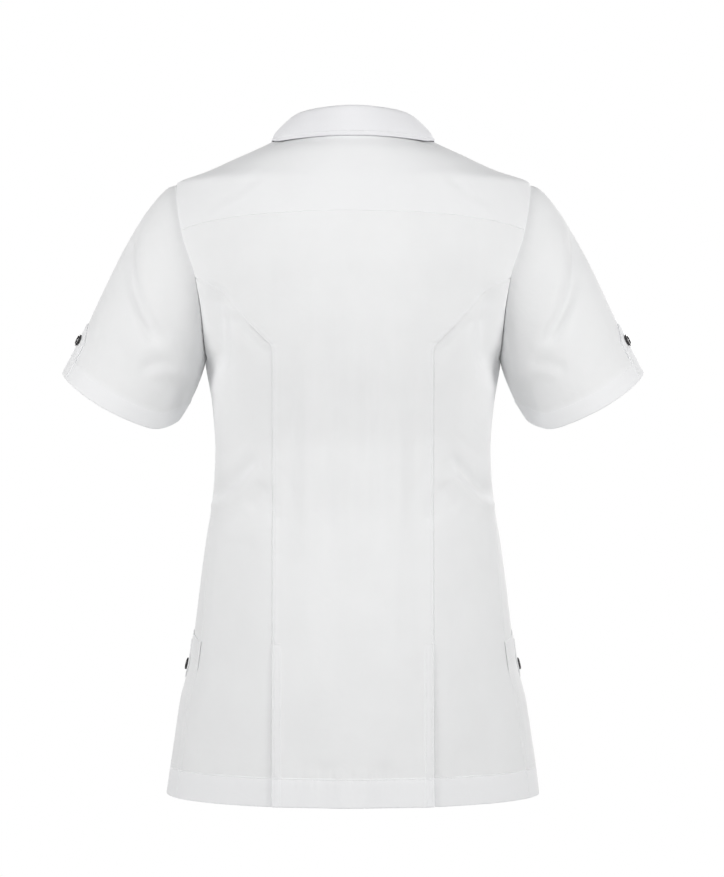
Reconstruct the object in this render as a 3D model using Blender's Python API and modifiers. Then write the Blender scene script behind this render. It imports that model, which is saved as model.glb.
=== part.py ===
"""Medical tunic: a fitted, short-sleeved women's tunic with a shirt collar, filled out as it is worn.

Metres, +Z up. The front faces -Y and the wearer's left is +X. The origin is in the middle of the neck, level
with the neck ends of the shoulders. Each piece of cloth is an open sheet between its own seam lines, made
solid inwards, and every sheet lies on one body surface or on one sleeve surface.
"""
import math

import bpy
import numpy as np
from mathutils import Matrix, Vector

# ---------------------------------------------------------------- sizes

WALL = 0.0015                # cloth, with the seam and hem layers evened out
COLLAR_WALL = 0.0016         # two layers and an interlining
SEAM_GAP = 0.0003            # between pieces that are sewn together
EDGE_TRIM = 0.0002           # off each edge: half the gap, and room for the walls to lean in on a curve
ON_PANEL = WALL + 0.0004     # from a panel's face to the outer face of a piece that lies on it

HEM = -0.700
WAIST_TOP = -0.2215          # the back princess seams run straight down from here
VENT_TOP = -0.533
VENT_LAP = 0.012             # how far a side panel runs on under the centre panel
VENT_DROP = -0.0021          # how far it lies inside the body surface there
UNDERARM = -0.238
SHOULDER_TIP = -0.0475
BACK_CORNER = -0.150         # where the back princess seam meets the armhole
FRONT_CORNER = -0.140        # and the front one
CORNER_GAP = 0.0012          # a side panel's point ends this far below that corner
NECK_FRONT = -0.062          # the neck seam at the centre front
YOKE_CENTRE = -0.083         # back yoke seam at the centre
YOKE_END = -0.100            # and at the armhole
FRONT_YOKE_END = -0.078      # front yoke seam at the armhole
HOLE_BACK = 0.058            # how far the armhole reaches behind the shoulder line
HOLE_FRONT = 0.052           # and in front of it
LAP = 0.0145                 # each front runs this far past the centre line
UNDER_LAP = -0.0021          # the left front lies this far inside the right one

STAND_LAP = 0.0011           # the stand's ends lie this far to each side of its middle line where they lap
BAND_HALF = 0.0148
TAB_WIDTH = 0.030
POINT_FROM = 0.76            # share of a tab's length at which its point begins
BUTTON_PLACE = 0.66          # and at which its button sits
SLEEVE_START = 0.0012        # the sleeve's wall starts this far out from the armhole's edge
SLEEVE_TAB_LENGTH = 0.061
SLEEVE_TAB_BEHIND = 0.008    # its middle lies this far behind the sleeve's outer line
SLEEVE_TAB_LIFT = ON_PANEL + 0.0003      # the sleeve curves both ways between its rows
TAB_START = 0.997            # share of the sleeve's length at which the tab starts
POCKET_TAB_LENGTH = 0.042
POCKET_TAB_TURN = math.radians(93.0)     # where it hangs, round the body from the centre back
POCKET_SIDE_TOP = -0.535
POCKET_FRONT_TOP = -0.500
BUTTON_RADIUS = 0.0065
BUTTON_SEAT = 0.0003
FRONT_BUTTONS = (-0.095, -0.183, -0.271, -0.359, -0.447, -0.535)


def table(names, rows):
    """Rows of numbers as named columns, each an array."""
    return dict(zip(names, np.array(rows, float).T))


# The body from the hem up. Reach is the half width, or in the armhole's heights how far out its edge lies.
BODY = table(("height", "reach", "back_depth", "front_depth", "squareness"), (
    (-0.700, 0.1995, 0.1440, 0.1440, 2.05),
    (-0.644, 0.1915, 0.1405, 0.1410, 2.05),
    (-0.601, 0.1850, 0.1370, 0.1380, 2.10),
    (-0.558, 0.1740, 0.1320, 0.1340, 2.15),
    (-0.515, 0.1688, 0.1250, 0.1290, 2.20),
    (-0.472, 0.1634, 0.1150, 0.1230, 2.25),
    (-0.429, 0.1575, 0.1060, 0.1170, 2.25),
    (-0.386, 0.1510, 0.0990, 0.1130, 2.25),
    (-0.332, 0.1475, 0.0975, 0.1165, 2.25),
    (-0.283, 0.1510, 0.1050, 0.1300, 2.25),
    (-0.238, 0.1585, 0.1140, 0.1370, 2.25),
    (-0.192, 0.1615, 0.1185, 0.1310, 2.25),
    (-0.150, 0.1670, 0.1190, 0.1180, 2.25),
    (-0.101, 0.1815, 0.1132, 0.0985, 2.15),
    (-0.060, 0.1885, 0.1010, 0.0800, 1.95),
    (-0.0475, 0.1900, 0.0965, 0.0740, 1.90),
    (-0.0333, 0.1553, 0.0905, 0.0670, 1.90),
    (-0.0204, 0.1263, 0.0850, 0.0615, 1.90),
    (-0.0075, 0.0984, 0.0785, 0.0570, 1.90),
    (-0.0010, 0.0850, 0.0745, 0.0545, 1.90),
    (0.0040, 0.0710, 0.0700, 0.0520, 1.90),
    (0.0065, 0.0670, 0.0680, 0.0505, 1.90),
))

# Princess seams: how far from the centre line at each height.
BACK_PRINCESS = table(("height", "across"), (
    (-0.700, 0.0835), (-0.332, 0.0842), (-0.2320, 0.0842), (-0.2190, 0.0862), (-0.2050, 0.0965),
    (-0.1870, 0.1175), (-0.1655, 0.1395), (BACK_CORNER, 0.1670),
))
FRONT_PRINCESS = table(("height", "across"), (
    (-0.700, 0.0930), (-0.343, 0.0800), (-0.260, 0.0850), (-0.220, 0.0950), (-0.190, 0.1120),
    (-0.162, 0.1370), (FRONT_CORNER, 0.1697),
))

# The neck seam, by angle round the neck from the centre back, then the collar's two parts above it.
NECK = table(("angle", "height"), (
    (0, 0.0060), (45, 0.0055), (90, 0.0040), (110, 0.0034), (122, 0.0005), (135, -0.0070),
    (148, -0.0200), (158, -0.0320), (168, -0.0480), (180, NECK_FRONT), (192, -0.0480),
))
STAND = table(("angle", "rise", "lean"), (
    (0, 0.0240, 0.0040), (60, 0.0200, 0.0042), (90, 0.0150, 0.0030), (135, 0.0190, 0.0035),
    (180, 0.0210, 0.0015),
))
# Where the fall's edge lies over the body: how far across, at which height, and how far off the cloth.
FALL_EDGE = table(("angle", "across", "height", "stand_off"), (
    (0, 0.0000, -0.0035, 0.0080), (30, 0.0390, -0.0035, 0.0072), (60, 0.0690, -0.0025, 0.0050),
    (90, 0.0838, -0.0006, 0.0026), (115, 0.0880, -0.0150, 0.0030), (140, 0.0850, -0.0420, 0.0030),
    (160, 0.0730, -0.0760, 0.0030), (176, 0.0500, -0.1040, 0.0034),
))
FALL_END = 176               # the fall's front edges leave the stand here, in degrees

# The left sleeve's rim, from its outer point round the back, the underarm and the front: how far out across
# the sleeve, how far behind its middle line and how far along that line from the rim's centre.
RIM_CENTRE = np.array((0.24275, 0.0, -0.2625))
SLEEVE_LINE = np.array((0.503, 0.0, -0.864))
CUFF = table(("across", "behind", "along"), (
    (0.0658, 0.0000, 0.0227), (0.0430, 0.0365, 0.0305), (0.0020, 0.0500, 0.0330), (-0.0443, 0.0385, 0.0275),
    (-0.0610, 0.0200, 0.0165), (-0.0670, 0.0000, 0.0010), (-0.0530, -0.0320, -0.0100),
    (-0.0050, -0.0500, -0.0080), (0.0440, -0.0365, 0.0080),
))
UNDERARM_ROW = 5             # the row of that table at the underarm seam
CAP_SWELL = 0.040            # roundness of the sleeve's outer line
SIDE_SWELL = 0.012           # of its back and front
UNDER_SWELL = 0.012          # and of its underside
SWELL_FROM = 0.006           # share of the sleeve's length at which they begin, clear of the armhole seam

# Largest folds, on both sides alike: from one end to the other, bowed sideways, with half width and depth.
# A negative depth is a ridge. Face says whether the fold lies on the back (1) or the front (-1).
FOLDS = table(("face", "x0", "z0", "x1", "z1", "bow", "half_width", "depth"), (
    (1, 0.1040, -0.348, 0.1480, -0.389, 0.004, 0.0095, 0.0030),     # waist, towards the side
    (1, 0.1020, -0.334, 0.1440, -0.372, 0.004, 0.0085, -0.0014),    # the cloth that it pushes up
    (1, 0.0930, -0.368, 0.0800, -0.408, 0.000, 0.0080, 0.0010),     # waist, beside the seam
    (1, 0.1400, -0.434, 0.1050, -0.430, 0.000, 0.0090, 0.0012),     # top of the hip
    (1, 0.0940, -0.212, 0.0860, -0.232, 0.000, 0.0110, 0.0024),     # bend of the princess seam
    (1, 0.1290, -0.192, 0.1330, -0.232, 0.002, 0.0080, -0.0020),    # full cloth beside the underarm
    (1, 0.1490, -0.196, 0.1460, -0.250, 0.000, 0.0080, 0.0026),     # hollow at the underarm
    (1, 0.0000, -0.230, 0.0000, -0.390, 0.000, 0.0085, -0.0012),    # small of the back, centre ridge
    (1, 0.0270, -0.225, 0.0280, -0.385, 0.000, 0.0085, 0.0010),     # and the hollows beside it
    (1, 0.0560, -0.240, 0.0570, -0.370, 0.000, 0.0085, 0.0008),
    (1, 0.0980, -0.044, 0.1370, -0.072, 0.002, 0.0070, 0.0009),     # yoke, towards the armhole
    (1, 0.0300, -0.655, 0.0330, -0.705, 0.000, 0.0120, 0.0016),     # hem, beside the centre
    (-1, 0.1100, -0.340, 0.1420, -0.372, 0.003, 0.0090, 0.0024),    # front waist
    (-1, 0.1420, -0.205, 0.1180, -0.232, 0.002, 0.0085, 0.0018),    # front underarm
    (-1, 0.0500, -0.300, 0.0520, -0.420, 0.000, 0.0100, 0.0010),
))
SLEEVE_FOLDS = table(("face", "x0", "z0", "x1", "z1", "bow", "half_width", "depth"), (
    (1, 0.2330, -0.100, 0.2090, -0.212, -0.011, 0.0090, 0.0036),    # long fold from the cap
    (1, 0.2170, -0.105, 0.2000, -0.200, -0.009, 0.0090, -0.0016),   # the cloth beside it
    (1, 0.2240, -0.247, 0.1880, -0.240, 0.003, 0.0075, 0.0020),     # short fold at the underarm
    (1, 0.2480, -0.150, 0.2420, -0.205, 0.002, 0.0100, 0.0010),
    (-1, 0.2300, -0.110, 0.2120, -0.205, -0.009, 0.0095, 0.0028),
))

# How finely the sheets are divided.
HIP_ROWS = 6
WAIST_ROWS = 9
SEAM_ROWS = 6                # the curved upper part of a princess seam
CENTRE_COLUMNS = 8
SIDE_COLUMNS = 7
FRONT_SIDE_COLUMNS = 9
POCKET_COLUMNS = 8           # of those: the rest of the panel shows between the pocket and the seam
YOKE_ROWS = 6
NECK_COLUMNS = 26
SLEEVE_ROWS = 11

WHITE = (0.86, 0.87, 0.88, 1.0)
COLLAR_WHITE = (0.88, 0.88, 0.89, 1.0)
DARK = (0.012, 0.011, 0.012, 1.0)


# ---------------------------------------------------------------- curves

def smooth(place, column, value):
    """A table's column at a value of its first one, along a cubic that never overshoots the rows."""
    step = np.diff(place)
    slope = np.diff(column) / step
    before, after = slope[:-1], slope[1:]
    weight_a = 2 * step[1:] + step[:-1]
    weight_b = step[1:] + 2 * step[:-1]
    same_way = before * after > 0
    safe_before = np.where(same_way, before, 1.0)
    safe_after = np.where(same_way, after, 1.0)
    mean = (weight_a + weight_b) / (weight_a / safe_before + weight_b / safe_after)
    tangent = np.concatenate(([slope[0]], np.where(same_way, mean, 0.0), [slope[-1]]))
    value = np.clip(value, place[0], place[-1])
    cell = np.clip(np.searchsorted(place, value, side="right") - 1, 0, len(step) - 1)
    t = (value - place[cell]) / step[cell]
    start = (1 + 2 * t) * (1 - t) ** 2 * column[cell] + t * (1 - t) ** 2 * step[cell] * tangent[cell]
    end = t * t * (3 - 2 * t) * column[cell + 1] + t * t * (t - 1) * step[cell] * tangent[cell + 1]
    return start + end


def soft_step(value):
    """0 below 0, 1 above 1, and a smooth rise between."""
    value = np.clip(value, 0.0, 1.0)
    return value * value * (3 - 2 * value)


def unit(vectors):
    return vectors / np.linalg.norm(vectors, axis=-1, keepdims=True)


def run_length(points):
    """Length along a row of points up to each of them."""
    return np.concatenate(([0.0], np.cumsum(np.linalg.norm(np.diff(points, axis=0), axis=1))))


def fold_depth(folds, points):
    """How far the folds push each point in."""
    x, y, z = np.abs(points[..., 0]), points[..., 1], points[..., 2]
    depth = np.zeros_like(x)
    for face, x0, z0, x1, z1, bow, half_width, fold in zip(*folds.values()):
        run = math.hypot(x1 - x0, z1 - z0)
        along = ((x - x0) * (x1 - x0) + (z - z0) * (z1 - z0)) / run ** 2
        aside = ((x - x0) * (z1 - z0) - (z - z0) * (x1 - x0)) / run - bow * 4 * along * (1 - along)
        ends = soft_step(along * 3 + 0.5) * soft_step((1 - along) * 3 + 0.5)
        shows = soft_step(face * y / 0.02)
        depth += fold * np.exp(-(aside / half_width) ** 2) * ends * shows
    return depth


# ---------------------------------------------------------------- body surface

def hole_depth(height, front):
    """Half the armhole's depth at a height: a rounded egg shape, none outside the armhole."""
    low_power, high_power = 0.5, 0.6
    widest = low_power / (low_power + high_power)
    rise = np.clip((height - UNDERARM) / (SHOULDER_TIP - UNDERARM), 0.0, 1.0)
    shape = (rise / widest) ** low_power * ((1 - rise) / (1 - widest)) ** high_power
    return np.where(front, HOLE_FRONT, HOLE_BACK) * shape


def ring_sizes(height, front):
    """Half width, depth and squareness of the body's section, which passes through the armhole's edge."""
    depth = np.where(front, smooth(BODY["height"], BODY["front_depth"], height),
                     smooth(BODY["height"], BODY["back_depth"], height))
    power = smooth(BODY["height"], BODY["squareness"], height)
    reach = smooth(BODY["height"], BODY["reach"], height)
    hole = hole_depth(height, front) / depth
    return reach / (1 - hole ** power) ** (1 / power), depth, power


def bare_body(angle, height):
    """The body surface without folds. The angle runs from the centre back to the wearer's left."""
    angle, height = np.broadcast_arrays(np.asarray(angle, float), np.asarray(height, float))
    sine, cosine = np.sin(angle), np.cos(angle)
    width, depth, power = ring_sizes(height, cosine < 0)
    x = width * np.sign(sine) * np.abs(sine) ** (2 / power)
    y = depth * np.sign(cosine) * np.abs(cosine) ** (2 / power)
    return np.stack((x, y, height), axis=-1)


def body_facing(angle, height):
    """The way that the body surface faces."""
    turn, lift = 0.02, 0.003
    across = bare_body(angle + turn, height) - bare_body(angle - turn, height)
    up = bare_body(angle, height + lift) - bare_body(angle, height - lift)
    return unit(np.cross(up, across))


def body_points(angle, height, out=0.0):
    """Points of the body surface with its folds, moved out by a distance."""
    points = bare_body(angle, height)
    shift = np.asarray(out) - fold_depth(FOLDS, points)
    return points + body_facing(angle, height) * shift[..., None]


def angle_across(across, height, front):
    """The angle at which the body's section is a given distance from the centre line."""
    width, _, power = ring_sizes(height, front)
    turn = np.arcsin(np.clip(across / width, 0, 1) ** (power / 2))
    return np.pi - turn if front else turn


def armhole_angle(height, front):
    """The angle at which the armhole's edge lies."""
    _, depth, power = ring_sizes(height, front)
    turn = np.arccos((hole_depth(height, front) / depth) ** (power / 2))
    return np.pi - turn if front else turn


def side_seam_angle(height):
    """The side seam starts at the underarm and runs to the back of the hip."""
    hip = math.radians(68.6)
    return math.pi / 2 + (hip - math.pi / 2) * soft_step((-0.250 - height) / 0.280)


def armhole_heights(low, high, cells, front):
    """Heights evenly spaced along the armhole's edge."""
    sweep = np.linspace(0, math.pi, 400)
    height = UNDERARM + (SHOULDER_TIP - UNDERARM) * (1 - np.cos(sweep)) / 2
    run = run_length(bare_body(armhole_angle(height, front), height))
    ends = np.interp((low, high), height, run)
    found = np.interp(np.linspace(ends[0], ends[1], cells + 1), run, height)
    found[0], found[-1] = low, high
    return found


# ---------------------------------------------------------------- sleeve surface

def closed_curve(points, count):
    """A smooth closed curve through points."""
    sections = []
    t = np.linspace(0, 1, count, endpoint=False)[:, None]
    for i in range(len(points)):
        before, start, end, after = (points[(i + k) % len(points)] for k in (-1, 0, 1, 2))
        way_out, way_in = (end - before) / 2, (after - start) / 2
        sections.append((1 + 2 * t) * (1 - t) ** 2 * start + t * (1 - t) ** 2 * way_out
                        + t * t * (3 - 2 * t) * end + t * t * (t - 1) * way_in)
    return np.concatenate(sections + [points[:1]])


def half_and_half(curve, middle):
    """Share of the way round at each point of a loop: 0 to 0.5 up to its middle point, then to 1."""
    run = run_length(curve)
    first = 0.5 * run[:middle + 1] / run[middle]
    second = 0.5 + 0.5 * (run[middle + 1:] - run[middle]) / (run[-1] - run[middle])
    return np.concatenate((first, second))


def armhole_loop():
    """The armhole's edge, from the shoulder tip down the back to the underarm and up the front."""
    sweep = np.linspace(0, math.pi, 300)
    down = SHOULDER_TIP + (UNDERARM - SHOULDER_TIP) * (1 - np.cos(sweep)) / 2
    back = bare_body(armhole_angle(down, False), down)
    front = bare_body(armhole_angle(down, True), down)[::-1]
    curve = np.concatenate((back, front[1:]))
    return curve, half_and_half(curve, len(back) - 1)


def cuff_loop():
    """The sleeve's rim, from its outer point round the back."""
    across = np.cross(SLEEVE_LINE, (0.0, 1.0, 0.0))
    across = across if across[0] > 0 else -across
    points = (RIM_CENTRE + CUFF["across"][:, None] * across + CUFF["along"][:, None] * SLEEVE_LINE
              + CUFF["behind"][:, None] * np.array((0.0, 1.0, 0.0)))
    count = 40
    curve = closed_curve(points, count)
    return curve, half_and_half(curve, UNDERARM_ROW * count)


ARMHOLE = armhole_loop()
RIM = cuff_loop()


def on_loop(loop, around):
    curve, share = loop
    return np.stack([np.interp(around, share, curve[:, axis]) for axis in range(3)], axis=-1)


def bare_sleeve(around, along):
    """The left sleeve: 0 round is its outer line, 0.25 the back; 0 along is the armhole, 1 the rim."""
    around, along = np.broadcast_arrays(np.asarray(around, float) % 1.0, np.asarray(along, float))
    top, rim = on_loop(ARMHOLE, around), on_loop(RIM, around)
    t = along[..., None]
    straight = (1 - t) * top + t * rim
    start, end = ARMHOLE[0].mean(axis=0), RIM[0].mean(axis=0)
    axis = unit(end - start)
    away = straight - ((1 - t) * start + t * end)
    away = unit(away - (away @ axis)[..., None] * axis)
    turn = 2 * math.pi * around
    top_swell = CAP_SWELL * ((1 + np.cos(turn)) / 2) ** 2 + SIDE_SWELL * np.sin(turn) ** 2
    under_swell = UNDER_SWELL * ((1 - np.cos(turn)) / 2) ** 2
    swell = (top_swell * np.sqrt(np.maximum(along - SWELL_FROM, 0.0)) * (1 - along) ** 1.5
             + under_swell * along * (1 - along))
    return straight + away * swell[..., None]


def sleeve_facing(around, along):
    turn, lift = 0.01, 0.02
    across = bare_sleeve(around + turn, along) - bare_sleeve(around - turn, along)
    low, high = np.minimum(along + lift, 1.0), np.maximum(along - lift, 0.0)
    down = bare_sleeve(around, low) - bare_sleeve(around, high)
    return unit(np.cross(down, across))


def sleeve_points(around, along, out=0.0):
    around, along = np.broadcast_arrays(np.asarray(around, float), np.asarray(along, float))
    points = bare_sleeve(around, along)
    settled = soft_step(along * 6) * soft_step((1 - along) * 6)
    shift = np.asarray(out) - fold_depth(SLEEVE_FOLDS, points) * settled
    return points + sleeve_facing(around, along) * shift[..., None]


# ---------------------------------------------------------------- sheets to solids

def edge(angle, height):
    """One edge of a panel, as angles and heights."""
    angle, height = np.broadcast_arrays(np.asarray(angle, float), np.asarray(height, float))
    return np.stack((angle, height), axis=-1)


def patch(inner, outer, columns, upper=None, level_rows=0):
    """Angles and heights all over a panel. Rows above the level ones bend to meet the upper edge."""
    f = np.linspace(0, 1, columns + 1)[None, :, None]
    grid = (1 - f) * inner[:, None] + f * outer[:, None]
    if upper is not None:
        rise = (np.arange(len(inner)) - level_rows) / (len(inner) - 1 - level_rows)
        grid += np.clip(rise, 0, 1)[:, None, None] * (upper - grid[-1])[None]
    return grid[..., 0], grid[..., 1]


def trimmed(points, open_left=False, closed=False):
    """Draw a sheet's edges in, square to each edge, but not at a side that a mirror image joins."""
    points = points.copy()
    sides = [(points[0], points[1]), (points[-1], points[-2])]
    if not closed:
        sides.append((points[:, -1], points[:, -2]))
    if not closed and not open_left:
        sides.append((points[:, 0], points[:, 1]))
    for border, inside in sides:
        way = inside - border
        reach = np.maximum(np.linalg.norm(way, axis=-1, keepdims=True), 1e-9)
        tangent = unit(np.gradient(border, axis=0) + 1e-9)
        slant = np.linalg.norm(way - np.sum(way * tangent, axis=-1, keepdims=True) * tangent,
                               axis=-1, keepdims=True) / reach
        border += way / reach * np.minimum(EDGE_TRIM / np.maximum(slant, 0.25), 0.3 * reach)
    return points


def sheet_mesh(name, points, outwards, closed=False):
    """A mesh through rows of points, facing away from the middle that outwards gives."""
    rows, columns = points.shape[:2]
    span = columns if closed else columns - 1
    faces = []
    for r in range(rows - 1):
        for c in range(span):
            d = (c + 1) % columns
            faces.append((r * columns + c, r * columns + d, (r + 1) * columns + d, (r + 1) * columns + c))
    row, column = rows // 2 - 1, columns // 2
    middle = points[row, column]
    facing = np.cross(points[row, column + 1] - middle, points[row + 1, column] - middle)
    if np.dot(facing, outwards(middle)) < 0:
        faces = [face[::-1] for face in faces]
    mesh = bpy.data.meshes.new(name)
    mesh.from_pydata([tuple(p) for p in points.reshape(-1, 3)], [], faces)
    mesh.validate()
    return mesh


def clear_scene():
    for item in list(bpy.data.objects):
        bpy.data.objects.remove(item, do_unlink=True)


def finish(name, colour, roughness):
    material = bpy.data.materials.new(name)
    material.use_nodes = True
    shader = material.node_tree.nodes["Principled BSDF"]
    shader.inputs["Base Color"].default_value = colour
    shader.inputs["Roughness"].default_value = roughness
    shader.inputs["Metallic"].default_value = 0.0
    return material


class Tunic:
    """The collection that holds the pieces, and the ways to add one."""

    def __init__(self):
        self.collection = bpy.data.collections.new("medical_tunic")
        bpy.context.scene.collection.children.link(self.collection)
        self.root = bpy.data.objects.new("medical_tunic_origin", None)
        self.collection.objects.link(self.root)

    def add(self, name, mesh, colour, roughness):
        piece = bpy.data.objects.new(name, mesh)
        piece.parent = self.root
        self.collection.objects.link(piece)
        mesh.materials.append(finish(name + " finish", colour, roughness))
        return piece

    def cloth(self, name, points, outwards, mirrored=False, closed=False, wall=WALL, colour=WHITE):
        """A sheet of points made a wall, after its mirror image where it is half of a piece."""
        mesh = sheet_mesh(name, trimmed(points, open_left=mirrored, closed=closed), outwards, closed)
        mesh.shade_smooth()
        piece = self.add(name, mesh, colour, 0.8)
        if mirrored:
            mirror = piece.modifiers.new("other half", "MIRROR")
            mirror.use_axis = (True, False, False)
            mirror.merge_threshold = 0.0001
        solid = piece.modifiers.new("wall", "SOLIDIFY")
        solid.thickness = wall
        solid.offset = -1.0
        solid.use_even_offset = wall == COLLAR_WALL      # keeps the collar's fold at its full thickness
        solid.use_rim = True
        return piece

    def button(self, name, seat, facing):
        """A turned button with a raised rim, its back on the seat."""
        profile = ((0.0, 1.5), (4.2, 1.5), (5.2, 2.5), (6.5, 1.9), (6.5, 0.7), (5.6, 0.0), (0.0, 0.0))
        scale = BUTTON_RADIUS / 6.5
        points = [(radius * scale, 0.0, height * scale) for radius, height in profile]
        mesh = bpy.data.meshes.new(name)
        mesh.from_pydata(points, [(i, i + 1) for i in range(len(points) - 1)], [])
        piece = self.add(name, mesh, DARK, 0.35)
        turned = piece.modifiers.new("turned", "SCREW")
        turned.steps = turned.render_steps = 14
        turned.use_merge_vertices = True
        turned.merge_threshold = 0.0001
        turned.use_smooth_shade = True
        facing = Vector(facing).normalized()
        turn = facing.to_track_quat("Z", "Y").to_matrix().to_4x4()
        piece.matrix_world = Matrix.Translation(Vector(seat) + facing * BUTTON_SEAT) @ turn
        return piece


def from_axis(point):
    """Away from the upright line through the neck."""
    return np.array((point[0], point[1], 0.0))


def upwards_and_out(point):
    return np.array((point[0], point[1], 0.05))


def from_sleeve(point):
    """Away from the middle line of the sleeve on that side."""
    side = 1 if point[0] > 0 else -1
    start, end = ARMHOLE[0].mean(axis=0), RIM[0].mean(axis=0)
    seen = point * (side, 1, 1)
    axis = unit(end - start)
    away = seen - start
    away = away - (away @ axis) * axis
    return away * (side, 1, 1)


def flipped(points):
    """The same points on the wearer's other side."""
    return points * (-1, 1, 1)


# ---------------------------------------------------------------- panels

def skirt_heights(top):
    """Heights of the rows that all the panels share below the chest, with one at the vents' top."""
    return np.concatenate((np.linspace(HEM, VENT_TOP, HIP_ROWS + 1),
                           np.linspace(VENT_TOP, top, WAIST_ROWS + 1)[1:]))


def back_princess_angle(height):
    return angle_across(smooth(BACK_PRINCESS["height"], BACK_PRINCESS["across"], height), height, False)


def front_princess_angle(height):
    return angle_across(smooth(FRONT_PRINCESS["height"], FRONT_PRINCESS["across"], height), height, True)


def back_seam_heights(top):
    return np.concatenate((skirt_heights(WAIST_TOP), np.linspace(WAIST_TOP, top, SEAM_ROWS + 1)[1:]))


def make_back_centre(tunic):
    """From the hem to the yoke, straight to the princess seams and out to the armholes above them."""
    edge_top = armhole_heights(BACK_CORNER, YOKE_END, 3, False)
    seam = back_seam_heights(BACK_CORNER)
    outer = np.concatenate((edge(back_princess_angle(seam), seam),
                            edge(armhole_angle(edge_top, False), edge_top)[1:]))
    stretch = (YOKE_CENTRE - HEM) / (YOKE_END - HEM)
    inner = edge(0.0, HEM + (outer[:, 1] - HEM) * stretch)
    angle, height = patch(inner, outer, CENTRE_COLUMNS, yoke_seam(), HIP_ROWS + WAIST_ROWS)
    tunic.cloth("back_centre", body_points(angle, height), from_axis, mirrored=True)


def yoke_seam():
    """The back yoke seam, from the centre to the armhole."""
    end = float(armhole_angle(np.array(YOKE_END), False))
    share = np.linspace(0, 1, CENTRE_COLUMNS + 1)
    return edge(share * end, YOKE_CENTRE + (YOKE_END - YOKE_CENTRE) * share ** 2)


def make_yoke(tunic):
    """Over the shoulders, from the back yoke seam to the front one, around the neck."""
    rise = armhole_heights(YOKE_END, SHOULDER_TIP, 4, False)[1:]
    fall = armhole_heights(FRONT_YOKE_END, SHOULDER_TIP, 3, True)[::-1][1:]
    lower = np.concatenate((yoke_seam(), edge(armhole_angle(rise, False), rise),
                            edge(armhole_angle(fall, True), fall)))
    upper = edge(lower[:, 0], neck_height(lower[:, 0]))
    grid = np.linspace(lower, upper, YOKE_ROWS + 1)
    angle, height = grid[..., 0], grid[..., 1]
    tunic.cloth("yoke", body_points(angle, height), upwards_and_out, mirrored=True)


def neck_height(angle):
    return smooth(np.radians(NECK["angle"]), NECK["height"], np.abs(angle))


def make_back_side(tunic, name, side):
    """Between the princess seam and the side seam, up to a point at the armhole."""
    point = BACK_CORNER - CORNER_GAP
    inner_height = back_seam_heights(point)
    inner_angle = back_princess_angle(inner_height)
    across = smooth(BACK_PRINCESS["height"], BACK_PRINCESS["across"], inner_height) - VENT_LAP
    lapped = angle_across(across, inner_height, False)
    under = inner_height < VENT_TOP - 0.001
    inner = edge(np.where(under, lapped, inner_angle), inner_height)
    outer_height = skirt_heights(UNDERARM)
    hole = armhole_heights(UNDERARM, point, SEAM_ROWS, False)[1:]
    outer = np.concatenate((edge(side_seam_angle(outer_height), outer_height),
                            edge(armhole_angle(hole, False), hole)))
    angle, height = patch(inner, outer, SIDE_COLUMNS)
    near_seam = soft_step((0.125 - np.abs(bare_body(angle, height)[..., 0])) / 0.032)
    below_vent = height < VENT_TOP + 0.001
    points = body_points(angle, height, VENT_DROP * near_seam * below_vent)
    tunic.cloth(name, points if side > 0 else flipped(points), from_axis)


def front_outer_edge():
    """A front's outer edge: princess seam, armhole, then the yoke seam to the neck."""
    low = skirt_heights(WAIST_TOP)
    bust = np.linspace(WAIST_TOP, FRONT_CORNER, SEAM_ROWS + 1)[1:]
    seam = np.concatenate((low, bust))
    hole = armhole_heights(FRONT_CORNER, FRONT_YOKE_END, 3, True)[1:]
    yoke_angle = float(armhole_angle(np.array(FRONT_YOKE_END), True))
    shoulder = np.linspace(FRONT_YOKE_END, float(neck_height(yoke_angle)), YOKE_ROWS + 1)[1:]
    return np.concatenate((edge(front_princess_angle(seam), seam), edge(armhole_angle(hole, True), hole),
                           edge(yoke_angle, shoulder)))


def centre_heights(rows):
    """Heights at the centre front for a front's rows, the same as the princess seam's below the bust."""
    low = skirt_heights(WAIST_TOP)
    return np.concatenate((low, np.linspace(WAIST_TOP, NECK_FRONT, rows - len(low) + 1)[1:]))


def make_front(tunic, name, side, under):
    """From the princess seam past the centre line. The one that lies under is set inwards there."""
    outer = front_outer_edge()
    centre = centre_heights(len(outer))
    width, _, power = ring_sizes(centre, True)
    inner = edge(math.pi + np.arcsin((LAP / width) ** (power / 2)), centre)
    neck_angle = np.linspace(inner[-1, 0], outer[-1, 0], CENTRE_COLUMNS + 1)
    neck = edge(neck_angle, neck_height(neck_angle))
    inner[-1], outer[-1] = neck[0], neck[-1]
    angle, height = patch(inner, outer, CENTRE_COLUMNS, neck, HIP_ROWS + WAIST_ROWS)
    across = bare_body(angle, height)[..., 0]
    out = UNDER_LAP * soft_step((0.034 - across) / 0.016) if under else 0.0
    points = body_points(angle, height, out)
    tunic.cloth(name, points if side > 0 else flipped(points), from_axis)


def make_front_side(tunic, name, side):
    point = FRONT_CORNER - CORNER_GAP
    low = skirt_heights(WAIST_TOP)
    inner_height = np.concatenate((low, np.linspace(WAIST_TOP, point, SEAM_ROWS + 1)[1:]))
    inner = edge(front_princess_angle(inner_height), inner_height)
    outer_height = skirt_heights(UNDERARM)
    hole = armhole_heights(UNDERARM, point, SEAM_ROWS, True)[1:]
    outer = np.concatenate((edge(side_seam_angle(outer_height), outer_height),
                            edge(armhole_angle(hole, True), hole)))
    angle, height = patch(inner, outer, FRONT_SIDE_COLUMNS)
    points = body_points(angle, height)
    tunic.cloth(name, points if side > 0 else flipped(points), from_axis)


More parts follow.
